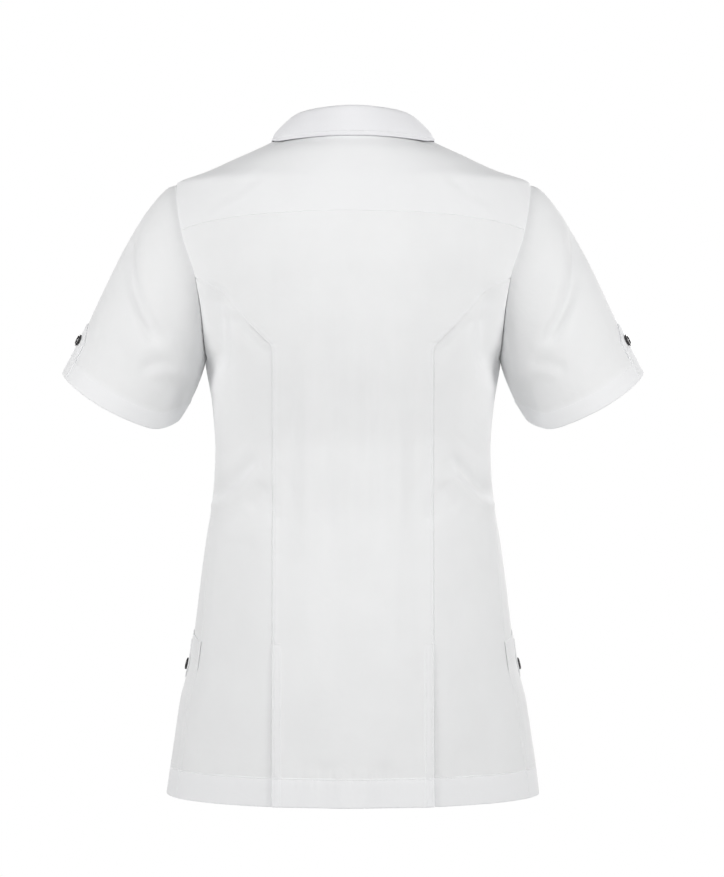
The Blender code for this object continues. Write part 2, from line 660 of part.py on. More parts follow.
def make_button_band(tunic):
    """On the right front, from the neck to the hem, over the centre line."""
    centre = centre_heights(len(front_outer_edge()))
    width, _, power = ring_sizes(centre, True)
    turn = np.arcsin((BAND_HALF / width) ** (power / 2))
    share = np.linspace(-1, 1, 5)
    angle = math.pi - turn[:, None] * share
    tunic.cloth("button_band", body_points(angle, centre[:, None], ON_PANEL), from_axis)


# ---------------------------------------------------------------- collar

def neck_ring(angle):
    """The neck seam, and the level way outwards from it."""
    seam = bare_body(angle, neck_height(angle))
    turn = 0.03
    along = (bare_body(angle + turn, neck_height(angle + turn))
             - bare_body(angle - turn, neck_height(angle - turn)))
    level = np.stack((-along[..., 1], along[..., 0], np.zeros_like(angle)), axis=-1)
    return seam, unit(np.where(np.sum(level * seam, axis=-1, keepdims=True) < 0, -level, level))


def stand_top(angle):
    seam, away = neck_ring(angle)
    turn = np.degrees(np.abs(angle))
    rise = smooth(STAND["angle"], STAND["rise"], turn)
    lean = smooth(STAND["angle"], STAND["lean"], turn)
    return seam + np.stack((np.zeros_like(rise), np.zeros_like(rise), rise), axis=-1) - away * lean[..., None]


def make_collar_stand(tunic):
    """A band that stands on the neck seam, its right end over its left."""
    lap = math.radians(4.5)
    angle = np.linspace(-math.pi - lap, math.pi + lap, 2 * NECK_COLUMNS + 1)
    folded = np.where(np.abs(angle) > math.pi, 2 * math.pi - np.abs(angle), np.abs(angle))
    seen = np.where(np.abs(angle) > math.pi, -np.sign(angle) * folded, angle)
    seam, away = neck_ring(seen)
    top = stand_top(seen)
    spread = soft_step((np.abs(angle) - math.radians(150)) / math.radians(24)) * np.sign(-angle) * STAND_LAP
    rows = []
    for share in (0.0, 0.5, 1.0):
        row = seam + (top - seam) * share
        row = row + away * spread[:, None]
        row[:, 2] += (2 * SEAM_GAP + np.abs(spread)) * (1 - share)
        rows.append(row)
    tunic.cloth("collar_stand", np.array(rows), from_axis, wall=COLLAR_WALL, colour=COLLAR_WHITE)


def fall_edge(angle):
    turn = np.degrees(angle)
    across = smooth(FALL_EDGE["angle"], FALL_EDGE["across"], turn)
    height = smooth(FALL_EDGE["angle"], FALL_EDGE["height"], turn)
    stand_off = smooth(FALL_EDGE["angle"], FALL_EDGE["stand_off"], turn)
    points = []
    for a, x, z, off in zip(angle, across, height, stand_off):
        front = bool(a > math.pi / 2)
        where = float(angle_across(np.array(x), np.array(z), front))
        points.append(body_points(where, z, off))
    return np.array(points)


def make_collar_fall(tunic):
    """Folded over the stand's top edge and down onto the yoke and the fronts."""
    angle = np.linspace(0, math.radians(FALL_END), NECK_COLUMNS + 1)
    _, away = neck_ring(angle)
    top = stand_top(angle)
    low = fall_edge(angle)
    up = np.array((0.0, 0.0, 1.0))
    steep = soft_step((angle - math.radians(95)) / math.radians(30))[:, None]
    clear = COLLAR_WALL + SEAM_GAP * 2 + 0.0016 * steep
    rows = [top + up * clear - away * 0.0012,
            top + up * clear + away * 0.0016,
            top + up * clear * 0.2 + away * (0.0046 + 0.001 * steep)]
    start = rows[-1]
    for share in (0.25, 0.5, 0.75, 1.0):
        belly = 4 * share * (1 - share) * 0.0022
        rows.append(start + (low - start) * share + away * belly)
    tunic.cloth("collar_fall", np.array(rows), upwards_and_out, mirrored=True,
                wall=COLLAR_WALL, colour=COLLAR_WHITE)


# ---------------------------------------------------------------- sleeves, tabs and pockets

def sleeve_columns():
    """Shares of the way round where the sleeve's columns stand, on the corners of the panels it meets."""
    back = np.concatenate((armhole_heights(UNDERARM, BACK_CORNER - CORNER_GAP, SEAM_ROWS, False),
                           armhole_heights(BACK_CORNER, YOKE_END, 3, False)[1:],
                           armhole_heights(YOKE_END, SHOULDER_TIP, 4, False)[1:]))
    front = np.concatenate((armhole_heights(UNDERARM, FRONT_CORNER - CORNER_GAP, SEAM_ROWS, True),
                            armhole_heights(FRONT_CORNER, FRONT_YOKE_END, 3, True)[1:],
                            armhole_heights(FRONT_YOKE_END, SHOULDER_TIP, 3, True)[1:]))
    curve, share = ARMHOLE
    middle = int(np.argmin(curve[:, 2]))
    down = np.interp(-back[::-1], -curve[:middle + 1, 2], share[:middle + 1])
    up = np.interp(front, curve[middle:, 2], share[middle:])
    return np.concatenate((down, up[1:-1]))


def make_sleeve(tunic, name, side):
    """A tube from the armhole to the rim."""
    around = sleeve_columns()
    length = np.linalg.norm(on_loop(RIM, around) - on_loop(ARMHOLE, around), axis=-1)
    start = SLEEVE_START / length
    rows = np.linspace(0, 1, SLEEVE_ROWS + 1)[:, None] ** 1.15
    points = sleeve_points(np.broadcast_to(around, (len(rows), len(around))), start + (1 - start) * rows)
    tunic.cloth(name, points if side > 0 else flipped(points), from_sleeve, closed=True)


def pointed_strip(shares):
    """Width of a strip with a pointed end at each share of its length, as a share of its full width."""
    return np.where(shares < POINT_FROM, 1.0, 1.0 - 0.9 * (shares - POINT_FROM) / (1 - POINT_FROM))


def make_sleeve_tab(tunic, side, name, button_name):
    """A strip up the sleeve's outer side, from the rim to a pointed end, with a button near the end."""
    girth = run_length(RIM[0])[-1]
    outer_line = run_length(bare_sleeve(np.zeros(60), np.linspace(0, 1, 60)))[-1]
    centre = SLEEVE_TAB_BEHIND / girth
    shares = np.array((0.0, 0.25, 0.5, POINT_FROM, 0.84, 0.92, 1.0))
    half = TAB_WIDTH / 2 / girth * pointed_strip(shares)
    along = TAB_START - shares * SLEEVE_TAB_LENGTH / outer_line
    around = centre + half[:, None] * np.linspace(-1, 1, 5)
    along = np.broadcast_to(along[:, None], around.shape)
    points = sleeve_points(around, along, SLEEVE_TAB_LIFT)
    tunic.cloth(name, points if side > 0 else flipped(points), from_sleeve)
    place = TAB_START - BUTTON_PLACE * SLEEVE_TAB_LENGTH / outer_line
    seat = sleeve_points(centre, place, SLEEVE_TAB_LIFT)
    facing = sleeve_facing(centre, np.array(place))
    mirror = np.array((side, 1, 1))
    tunic.button(button_name, seat * mirror, facing * mirror)


def arc_angle(start, height, distance):
    """The angle that lies a distance round the body from a starting angle."""
    turns = start + np.linspace(0, 1.4, 200)
    run = run_length(bare_body(turns, height))
    return np.interp(distance, run, turns)


def make_pocket(tunic, side, name):
    """A patch on the hip, on the panel's own rows and columns from the side seam, its opening slanted."""
    share = np.arange(POCKET_COLUMNS + 1) / FRONT_SIDE_COLUMNS
    top = POCKET_SIDE_TOP + (POCKET_FRONT_TOP - POCKET_SIDE_TOP) * share
    rows = [np.full(share.shape, level) for level in skirt_heights(WAIST_TOP)[1:HIP_ROWS]]
    height = np.array(rows + [top])
    side_angle, seam_angle = side_seam_angle(height), front_princess_angle(height)
    angle = side_angle + (seam_angle - side_angle) * share
    points = body_points(angle, height, ON_PANEL)
    tunic.cloth(name, points if side > 0 else flipped(points), from_axis)


def make_pocket_tab(tunic, side, name, button_name):
    """A short pointed strip that hangs on the pocket beside the side seam, with a button."""
    shares = np.array((0.0, 0.25, 0.5, POINT_FROM, 0.88, 1.0))
    top = POCKET_SIDE_TOP - 0.0005
    height = top - shares * POCKET_TAB_LENGTH
    middle = POCKET_TAB_TURN
    half = TAB_WIDTH / 2 * pointed_strip(shares)
    angle = np.zeros((len(shares), 5))
    for r, z in enumerate(height):
        start = middle - 0.3
        centre_run = run_length(bare_body(np.linspace(start, middle, 80), z))[-1]
        for c, share in enumerate(np.linspace(-1, 1, 5)):
            angle[r, c] = arc_angle(start, z, centre_run + share * half[r])
    points = body_points(angle, height[:, None], 2 * ON_PANEL)
    tunic.cloth(name, points if side > 0 else flipped(points), from_axis)
    button_height = top - BUTTON_PLACE * POCKET_TAB_LENGTH
    mirror = np.array((side, 1, 1))
    seat = body_points(middle, button_height, 2 * ON_PANEL)
    facing = body_facing(np.array(middle), np.array(button_height))
    tunic.button(button_name, seat * mirror, facing * mirror)


def make_front_buttons(tunic):
    """One on the collar stand and six down the band."""
    top = stand_top(np.array((math.pi,)))[0]
    seam, away = neck_ring(np.array((math.pi,)))
    seat = (top + seam[0]) / 2 + away[0] * STAND_LAP
    rise = unit(top - seam[0])
    facing = np.cross(rise, (-1.0, 0.0, 0.0))
    facing = facing if facing[1] < 0 else -facing
    tunic.button("button_front_1", seat, facing)
    for number, height in enumerate(FRONT_BUTTONS, start=2):
        seat = body_points(math.pi, height, ON_PANEL)
        facing = body_facing(np.array(math.pi), np.array(height))
        tunic.button(f"button_front_{number}", seat, facing)


def build():
    clear_scene()
    tunic = Tunic()
    make_back_centre(tunic)
    make_yoke(tunic)
    make_button_band(tunic)
    make_collar_stand(tunic)
    make_collar_fall(tunic)
    for word, side in (("left", 1), ("right", -1)):
        make_back_side(tunic, f"back_side_{word}", side)
        make_front(tunic, f"front_{word}", side, under=side > 0)
        make_front_side(tunic, f"front_side_{word}", side)
        make_sleeve(tunic, f"sleeve_{word}", side)
        make_sleeve_tab(tunic, side, f"sleeve_tab_{word}", f"button_sleeve_{word}")
        make_pocket(tunic, side, f"pocket_{word}")
        make_pocket_tab(tunic, side, f"pocket_tab_{word}", f"button_pocket_{word}")
    make_front_buttons(tunic)


build()
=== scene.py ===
import math

import bmesh
import bpy
import numpy as np
from mathutils import Matrix, Vector


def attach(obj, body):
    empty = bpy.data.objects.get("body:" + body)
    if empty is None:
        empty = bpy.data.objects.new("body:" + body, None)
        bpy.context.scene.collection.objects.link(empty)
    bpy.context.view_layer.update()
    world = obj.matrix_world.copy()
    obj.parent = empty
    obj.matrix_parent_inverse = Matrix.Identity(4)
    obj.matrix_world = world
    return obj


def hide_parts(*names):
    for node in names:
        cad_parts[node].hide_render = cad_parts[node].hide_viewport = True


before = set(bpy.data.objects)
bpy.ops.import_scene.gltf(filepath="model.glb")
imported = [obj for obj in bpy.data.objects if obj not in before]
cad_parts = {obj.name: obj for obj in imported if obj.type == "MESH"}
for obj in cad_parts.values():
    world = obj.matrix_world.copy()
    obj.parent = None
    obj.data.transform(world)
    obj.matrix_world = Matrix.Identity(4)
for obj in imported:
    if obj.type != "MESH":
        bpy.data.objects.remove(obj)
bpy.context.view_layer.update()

# ---------------------------------------------------------------- sizes

CLOTH = 0.0005               # one layer of the body cloth, with its finish
TURNED = 0.0004              # what each turned-in layer adds
CELL = 0.0034                # spacing of a shell's points away from seams and hems
HEM_BAND = 0.0300
SLEEVE_HEM_BAND = 0.0215
EDGE_STITCH = 0.0024         # topstitching from a turned edge
COLLAR_STITCH = 0.0042       # the same on the collar
SECOND_STITCH = 0.0085       # the second row beside the vents
HEM_STITCH = 0.0016          # topstitching from a hem band's upper edge
STAND_STITCH = 0.0016        # and from the collar stand's edges
TAB_STITCHES = (0.0026, 0.0062)
STITCH = 0.0031              # from one stitch to the next: eight to an inch
STITCH_LENGTH = 0.0025
FINE_STITCH, FINE_LENGTH = 0.0026, 0.0021       # the same on the collar
THREAD = 0.00028             # half the width of the thread
TUCKED = 0.0030              # how far a seam allowance runs on under the piece that covers it
SEAM_DROP = 0.0010           # and how far it lies inside

HEM = -0.700
WAIST_TOP = -0.2215          # the rows of the body panels stand level up to here
VENT_TOP = -0.533
VENT_LAP = 0.012             # how far the back side panels run on under the centre at the vents
VENT_DROP = -0.0021          # and how far inside it they hang there
UNDERARM = -0.238
SHOULDER_TIP = -0.0475
BACK_CORNER = -0.150         # where the princess seams meet the armhole
FRONT_CORNER = -0.140
CORNER_GAP = 0.0012          # between a side panel's point and that corner
BACK_BEND = 0.135            # length of a princess seam above the level rows
FRONT_BEND = 0.125
NECK_FRONT = -0.062
YOKE_CENTRE = -0.083         # the back yoke seam, at the centre and at the armhole
YOKE_END = -0.100
FRONT_YOKE_END = -0.078
HOLE_BACK = 0.058            # how deep half the armhole is
HOLE_FRONT = 0.052
LAP = 0.0145                 # how far the fronts cross the centre line
UNDER_LAP = -0.0015          # how far inside the left front lies there
STAND_LAP = 0.0011           # and by how much the collar stand's ends stand apart
COLLAR_WALL = 0.0016
SEAM_GAP = 0.0003
ON_PANEL = 0.0010            # the face of a piece that lies on a panel, from the panel's face
POCKET_FACE = 0.0008
TAB_FACE = 0.0014            # and that of a double tab, from what it lies on
BAND_HALF = 0.0148
TAB_WIDTH = 0.030
TAB_CELL = 0.0018            # spacing of a tab's points
POINT_FROM = 0.76            # share of a tab's length at which its point begins
BUTTON_PLACE = 0.66          # and at which its button is sewn on
SLEEVE_TAB_LENGTH = 0.061
SLEEVE_TAB_BEHIND = 0.008    # how far behind the sleeve's outer line
TAB_START = 0.997
POCKET_TAB_LENGTH = 0.042
POCKET_TAB_TURN = math.radians(93.0)
POCKET_SIDE_TOP = -0.535
POCKET_FRONT_TOP = -0.500
POCKET_BOTTOM = HEM + (VENT_TOP - HEM) / 6
POCKET_REACH = 8 / 9         # share of the way from the side seam to the princess seam
POCKET_HEM = 0.0236
POCKET_HEM_STITCH = 0.0220
FRONT_BUTTONS = (-0.095, -0.183, -0.271, -0.359, -0.447, -0.535)

PIXEL = 0.001075             # metres a pixel of the photograph in the plane of the shoulders
CAMERA_AWAY = 3.2
CAMERA_HEIGHT = -0.320
FRAME_WIDTH, FRAME_HEIGHT = 724, 877
MIDDLE_COLUMN = 353          # of the photograph, where the tunic's middle is
LAMP_AIM = (0.0, 0.0, -0.10)
LAMP_SPREAD = math.radians(150)
LAMP_TONE = (1.0, 0.99, 0.98)


def table(names, rows):
    """Rows of numbers as named columns, each an array."""
    return dict(zip(names, np.array(rows, float).T))


BODY = table(("height", "reach", "back_depth", "front_depth", "squareness"), (
    (-0.700, 0.1995, 0.1440, 0.1440, 2.05),
    (-0.644, 0.1915, 0.1405, 0.1410, 2.05),
    (-0.601, 0.1850, 0.1370, 0.1380, 2.10),
    (-0.558, 0.1740, 0.1320, 0.1340, 2.15),
    (-0.515, 0.1688, 0.1250, 0.1290, 2.20),
    (-0.472, 0.1634, 0.1150, 0.1230, 2.25),
    (-0.429, 0.1575, 0.1060, 0.1170, 2.25),
    (-0.386, 0.1510, 0.0990, 0.1130, 2.25),
    (-0.332, 0.1475, 0.0975, 0.1165, 2.25),
    (-0.283, 0.1510, 0.1050, 0.1300, 2.25),
    (-0.238, 0.1585, 0.1140, 0.1370, 2.25),
    (-0.192, 0.1615, 0.1185, 0.1310, 2.25),
    (-0.150, 0.1670, 0.1190, 0.1180, 2.25),
    (-0.101, 0.1815, 0.1132, 0.0985, 2.15),
    (-0.060, 0.1885, 0.1010, 0.0800, 1.95),
    (-0.0475, 0.1900, 0.0965, 0.0740, 1.90),
    (-0.0333, 0.1553, 0.0905, 0.0670, 1.90),
    (-0.0204, 0.1263, 0.0850, 0.0615, 1.90),
    (-0.0075, 0.0984, 0.0785, 0.0570, 1.90),
    (-0.0010, 0.0850, 0.0745, 0.0545, 1.90),
    (0.0040, 0.0710, 0.0700, 0.0520, 1.90),
    (0.0065, 0.0670, 0.0680, 0.0505, 1.90),
))
BACK_PRINCESS = table(("height", "across"), (
    (-0.700, 0.0835), (-0.332, 0.0842), (-0.2330, 0.0842), (-0.2245, 0.0858), (-0.2156, 0.0935),
    (-0.1990, 0.1101), (-0.1710, 0.1358), (-0.1580, 0.1520), (BACK_CORNER, 0.1670),
))
FRONT_PRINCESS = table(("height", "across"), (
    (-0.700, 0.0930), (-0.343, 0.0800), (-0.260, 0.0850), (-0.220, 0.0950), (-0.190, 0.1120),
    (-0.162, 0.1370), (FRONT_CORNER, 0.1697),
))
NECK = table(("angle", "height"), (
    (0, 0.0060), (45, 0.0055), (90, 0.0040), (110, 0.0034), (122, 0.0005), (135, -0.0070),
    (148, -0.0200), (158, -0.0320), (168, -0.0480), (180, NECK_FRONT), (192, -0.0480),
))
STAND = table(("angle", "rise", "lean"), (
    (0, 0.0240, 0.0040), (60, 0.0200, 0.0042), (90, 0.0150, 0.0030), (135, 0.0190, 0.0035),
    (180, 0.0210, 0.0015),
))
FALL_EDGE = table(("angle", "across", "height", "stand_off"), (
    (0, 0.0000, 0.0002, -0.0022), (30, 0.0390, 0.0001, -0.0022), (60, 0.0680, -0.0006, -0.0020),
    (78, 0.0795, -0.0018, -0.0009), (90, 0.0872, -0.0022, 0.0019), (115, 0.0880, -0.0150, 0.0022),
    (140, 0.0850, -0.0420, 0.0021), (160, 0.0730, -0.0760, 0.0021), (176, 0.0500, -0.1040, 0.0022),
))
FALL_END = 176               # the fall's front edges leave the stand here, in degrees
RIM_CENTRE = np.array((0.24275, 0.0, -0.2625))
SLEEVE_LINE = np.array((0.503, 0.0, -0.864))
CUFF = table(("across", "behind", "along"), (
    (0.0658, 0.0000, 0.0227), (0.0430, 0.0365, 0.0305), (0.0020, 0.0500, 0.0330), (-0.0443, 0.0385, 0.0275),
    (-0.0610, 0.0200, 0.0165), (-0.0670, 0.0000, 0.0010), (-0.0530, -0.0320, -0.0100),
    (-0.0050, -0.0500, -0.0080), (0.0440, -0.0365, 0.0080),
))
UNDERARM_ROW = 5             # the row of that table at the underarm seam
CAP_SWELL = 0.040            # roundness of the sleeve's outer line, its back and front, and its underside
SIDE_SWELL = 0.015
UNDER_SWELL = 0.012
SWELL_FROM = 0.006           # share of the sleeve's length at which they begin
SLEEVE_RUN = 0.20            # what its rows are counted on, from the armhole to the rim

# Creases: from one end to the other, bowed sideways, with half width and depth; a negative depth is a ridge.
# Side is 0 for one on both sides alike, 1 for the wearer's left alone and -1 for the right.
CREASE_COLUMNS = ("face", "side", "x0", "z0", "x1", "z1", "bow", "half_width", "depth")
CREASES = table(CREASE_COLUMNS, (
    # the large ones. Most are in the solids too, some of them deeper here or a few millimetres away
    (1, 0, 0.1040, -0.340, 0.1480, -0.380, 0.004, 0.0085, 0.0050),
    (1, 0, 0.1040, -0.352, 0.1480, -0.393, 0.004, 0.0070, -0.0028),
    (1, 0, 0.0930, -0.370, 0.1080, -0.392, 0.000, 0.0090, 0.0024),
    (1, 0, 0.0930, -0.368, 0.0800, -0.408, 0.000, 0.0080, 0.0010),
    (1, 0, 0.1400, -0.434, 0.1050, -0.430, 0.000, 0.0090, 0.0012),
    (1, 0, 0.1270, -0.194, 0.0890, -0.231, 0.000, 0.0060, 0.0021),
    (1, 0, 0.1390, -0.190, 0.1410, -0.240, 0.002, 0.0100, 0.0026),
    (1, 0, 0.1450, -0.166, 0.1480, -0.256, 0.002, 0.0125, 0.0080),
    (1, 0, 0.0000, -0.230, 0.0000, -0.460, 0.000, 0.0085, -0.0018),
    (1, 0, 0.0250, -0.225, 0.0265, -0.440, 0.000, 0.0080, 0.0015),
    (1, 0, 0.0490, -0.235, 0.0500, -0.430, 0.000, 0.0070, -0.0010),
    (1, 0, 0.0640, -0.240, 0.0630, -0.400, 0.000, 0.0080, 0.0010),
    (1, 0, 0.0980, -0.044, 0.1370, -0.072, 0.002, 0.0070, 0.0009),
    (1, 0, 0.0300, -0.655, 0.0330, -0.705, 0.000, 0.0120, 0.0016),
    (-1, 0, 0.1100, -0.340, 0.1420, -0.372, 0.003, 0.0090, 0.0024),
    (-1, 0, 0.1420, -0.205, 0.1180, -0.232, 0.002, 0.0085, 0.0018),
    (-1, 0, 0.0500, -0.300, 0.0520, -0.420, 0.000, 0.0100, 0.0010),
    # finer ones on the yoke, from the collar and towards the armholes
    (1, 0, 0.0950, -0.050, 0.1330, -0.077, 0.001, 0.0045, -0.0007),
    (1, 0, 0.1180, -0.055, 0.1480, -0.088, 0.001, 0.0045, -0.0006),
    (1, 0, 0.0450, -0.060, 0.0240, -0.087, 0.001, 0.0050, 0.0004),
    (1, 0, 0.0700, -0.040, 0.0560, -0.074, 0.000, 0.0060, -0.0004),
    # below the yoke, where the cloth hangs from the shoulder blades
    (1, 1, 0.1340, -0.100, 0.1290, -0.150, 0.002, 0.0060, 0.0005),
    (1, -1, 0.1310, -0.104, 0.1290, -0.158, 0.001, 0.0060, 0.0005),
    (1, 0, 0.0870, -0.130, 0.0840, -0.205, 0.000, 0.0065, 0.0004),
    (1, 0, 0.0420, -0.150, 0.0410, -0.300, 0.000, 0.0060, -0.0005),
    (1, 1, 0.0150, -0.180, 0.0130, -0.330, 0.000, 0.0045, 0.0005),
    (1, -1, 0.0130, -0.200, 0.0140, -0.340, 0.000, 0.0045, 0.0005),
    # small of the back and seat
    (1, 0, 0.0700, -0.395, 0.0690, -0.560, 0.001, 0.0075, 0.0005),
    (1, 0, 0.0460, -0.380, 0.0450, -0.540, 0.001, 0.0070, -0.0005),
    (1, 1, 0.0190, -0.400, 0.0210, -0.590, 0.001, 0.0080, 0.0004),
    (1, -1, 0.0210, -0.410, 0.0190, -0.610, 0.001, 0.0080, 0.0004),
    (1, 0, 0.0600, -0.380, 0.0760, -0.350, 0.002, 0.0060, 0.0005),
    (1, 1, 0.1240, -0.460, 0.1120, -0.560, 0.002, 0.0100, 0.0006),
    (1, -1, 0.1210, -0.470, 0.1130, -0.580, 0.002, 0.0100, 0.0006),
    (1, 0, 0.1100, -0.318, 0.1420, -0.340, 0.003, 0.0060, 0.0007),
    (1, 0, 0.1150, -0.398, 0.1480, -0.408, 0.002, 0.0060, 0.0008),
    # hem
    (1, 0, 0.0130, -0.662, 0.0120, -0.706, 0.000, 0.0070, -0.0009),
    (1, 1, 0.0520, -0.650, 0.0560, -0.706, 0.000, 0.0100, 0.0009),
    (1, -1, 0.0480, -0.660, 0.0460, -0.706, 0.000, 0.0090, 0.0010),
    (1, 0, 0.0710, -0.640, 0.0720, -0.706, 0.000, 0.0090, -0.0006),
    (1, 1, 0.1240, -0.630, 0.1290, -0.706, 0.001, 0.0130, 0.0012),
    (1, -1, 0.1180, -0.640, 0.1220, -0.706, 0.001, 0.0130, 0.0011),
    (1, 0, 0.1560, -0.620, 0.1600, -0.706, 0.001, 0.0110, 0.0009),
    # front and sides, like those of the back
    (-1, 0, 0.1130, -0.325, 0.1450, -0.352, 0.002, 0.0070, -0.0010),
    (-1, 0, 0.1300, -0.200, 0.1380, -0.262, 0.002, 0.0070, -0.0012),
    (-1, 1, 0.0650, -0.150, 0.0900, -0.215, 0.003, 0.0080, 0.0006),
    (-1, -1, 0.0620, -0.158, 0.0860, -0.222, 0.003, 0.0080, 0.0006),
    (-1, 0, 0.0360, -0.390, 0.0400, -0.520, 0.001, 0.0090, 0.0007),
    (-1, 1, 0.0700, -0.620, 0.0760, -0.706, 0.001, 0.0110, 0.0011),
    (-1, -1, 0.0620, -0.630, 0.0660, -0.706, 0.001, 0.0110, 0.0010),
    (-1, 0, 0.0350, -0.640, 0.0370, -0.706, 0.000, 0.0090, -0.0008),
    (-1, 0, 0.1250, -0.090, 0.1600, -0.120, 0.002, 0.0070, 0.0007),
    (-1, 0, 0.1220, -0.388, 0.1500, -0.404, 0.002, 0.0070, 0.0009),
))
SLEEVE_CREASES = table(CREASE_COLUMNS, (
    (1, 0, 0.2390, -0.096, 0.2060, -0.220, -0.011, 0.0076, 0.0060),
    (1, 0, 0.2230, -0.100, 0.1950, -0.206, -0.010, 0.0080, -0.0018),
    (1, 0, 0.1780, -0.262, 0.1870, -0.335, 0.000, 0.0200, 0.0055),
    (1, 0, 0.2240, -0.247, 0.1880, -0.240, 0.003, 0.0075, 0.0020),
    (1, 0, 0.2480, -0.150, 0.2420, -0.205, 0.002, 0.0100, 0.0010),
    (-1, 0, 0.2300, -0.110, 0.2120, -0.205, -0.009, 0.0095, 0.0028),
    # finer ones
    (1, 0, 0.2310, -0.118, 0.2060, -0.200, -0.010, 0.0045, -0.0007),
    (1, 0, 0.2050, -0.080, 0.1950, -0.120, 0.002, 0.0060, 0.0007),
    (1, 1, 0.2560, -0.210, 0.2330, -0.262, 0.003, 0.0070, 0.0008),
    (1, -1, 0.2530, -0.214, 0.2310, -0.258, 0.003, 0.0070, 0.0008),
    (1, 0, 0.2140, -0.225, 0.1880, -0.222, 0.002, 0.0055, -0.0009),
    (1, 0, 0.2120, -0.262, 0.1900, -0.258, 0.001, 0.0060, 0.0009),
    (-1, 0, 0.2180, -0.100, 0.2020, -0.190, -0.008, 0.0070, -0.0012),
    (-1, 1, 0.2500, -0.170, 0.2380, -0.235, 0.003, 0.0080, 0.0010),
    (-1, -1, 0.2460, -0.176, 0.2350, -0.240, 0.003, 0.0080, 0.0009),
    (-1, 0, 0.2180, -0.236, 0.1880, -0.228, 0.003, 0.0070, 0.0014),
))


# ---------------------------------------------------------------- curves

def smooth(place, column, value):
    """A table's column at a value of its first one, along a cubic that never overshoots the rows."""
    step = np.diff(place)
    slope = np.diff(column) / step
    before, after = slope[:-1], slope[1:]
    weight_a = 2 * step[1:] + step[:-1]
    weight_b = step[1:] + 2 * step[:-1]
    same_way = before * after > 0
    safe_before = np.where(same_way, before, 1.0)
    safe_after = np.where(same_way, after, 1.0)
    mean = (weight_a + weight_b) / (weight_a / safe_before + weight_b / safe_after)
    tangent = np.concatenate(([slope[0]], np.where(same_way, mean, 0.0), [slope[-1]]))
    value = np.clip(value, place[0], place[-1])
    cell = np.clip(np.searchsorted(place, value, side="right") - 1, 0, len(step) - 1)
    t = (value - place[cell]) / step[cell]
    start = (1 + 2 * t) * (1 - t) ** 2 * column[cell] + t * (1 - t) ** 2 * step[cell] * tangent[cell]
    end = t * t * (3 - 2 * t) * column[cell + 1] + t * t * (t - 1) * step[cell] * tangent[cell + 1]
    return start + end


def soft_step(value):
    """0 below 0, 1 above 1, and a smooth rise between."""
    value = np.clip(value, 0.0, 1.0)
    return value * value * (3 - 2 * value)


def unit(vectors):
    return vectors / np.maximum(np.linalg.norm(vectors, axis=-1, keepdims=True), 1e-12)


def runs(points, axis):
    """Length along a grid's rows or columns up to each point."""
    step = np.linalg.norm(np.diff(points, axis=axis), axis=-1)
    start = np.zeros_like(np.take(step, [0], axis=axis))
    return np.cumsum(np.concatenate((start, step), axis=axis), axis=axis)


def run_length(points):
    return runs(points, 0)


def crease_depth(creases, points):
    """How far the creases push each point in."""
    x, y, z = points[..., 0], points[..., 1], points[..., 2]
    depth = np.zeros_like(x)
    for face, side, x0, z0, x1, z1, bow, half_width, fold in zip(*creases.values()):
        run = math.hypot(x1 - x0, z1 - z0)
        out = np.abs(x)
        along = ((out - x0) * (x1 - x0) + (z - z0) * (z1 - z0)) / run ** 2
        aside = ((out - x0) * (z1 - z0) - (z - z0) * (x1 - x0)) / run - bow * 4 * along * (1 - along)
        ends = soft_step(along * 3 + 0.5) * soft_step((1 - along) * 3 + 0.5)
        shows = soft_step(face * y / 0.02) * (1.0 if side == 0 else soft_step(side * x / 0.01))
        depth += fold * np.exp(-(aside / half_width) ** 2) * ends * shows
    return depth


# Slow waves of slack cloth: how many radians a metre in x, y and z, where each starts, and its share.
SLACK = table(("across", "deep", "along", "start", "share"), (
    (61, 43, 9, 0.4, 1.0), (97, 71, 23, 2.1, 0.6), (37, 29, 41, 4.0, 0.8), (163, 127, 31, 1.3, 0.35),
    (229, 181, 67, 5.2, 0.2),
))


def unevenness(points, size):
    """The slight rise and fall of cloth that nothing stretches: long waves, none of them alike."""
    x, y, z = points[..., 0], points[..., 1], points[..., 2]
    wave = np.zeros_like(x)
    for across, deep, along, start, share in zip(*SLACK.values()):
        bent = across * x + start + 1.7 * np.sin(deep * y + 11 * z)
        wave += share * np.sin(bent) * np.cos(along * z + 2 * start)
    return wave * size


# ---------------------------------------------------------------- body surface

def hole_depth(height, front):
    """Half the armhole's depth at a height: a rounded egg shape, none outside the armhole."""
    low_power, high_power = 0.5, 0.6
    widest = low_power / (low_power + high_power)
    rise = np.clip((height - UNDERARM) / (SHOULDER_TIP - UNDERARM), 0.0, 1.0)
    shape = (rise / widest) ** low_power * ((1 - rise) / (1 - widest)) ** high_power
    return np.where(front, HOLE_FRONT, HOLE_BACK) * shape


def ring_sizes(height, front):
    """Half width, depth and squareness of the body's section, which passes through the armhole's edge."""
    depth = np.where(front, smooth(BODY["height"], BODY["front_depth"], height),
                     smooth(BODY["height"], BODY["back_depth"], height))
    power = smooth(BODY["height"], BODY["squareness"], height)
    reach = smooth(BODY["height"], BODY["reach"], height)
    hole = hole_depth(height, front) / depth
    return reach / (1 - hole ** power) ** (1 / power), depth, power


def bare_body(angle, height):
    """The body surface without creases. The angle runs from the centre back to the wearer's left."""
    angle, height = np.broadcast_arrays(np.asarray(angle, float), np.asarray(height, float))
    sine, cosine = np.sin(angle), np.cos(angle)
    width, depth, power = ring_sizes(height, cosine < 0)
    x = width * np.sign(sine) * np.abs(sine) ** (2 / power)
    y = depth * np.sign(cosine) * np.abs(cosine) ** (2 / power)
    return np.stack((x, y, height), axis=-1)


def body_facing(angle, height):
    """The way that the body surface faces."""
    turn, lift = 0.02, 0.003
    across = bare_body(angle + turn, height) - bare_body(angle - turn, height)
    up = bare_body(angle, height + lift) - bare_body(angle, height - lift)
    return unit(np.cross(up, across))


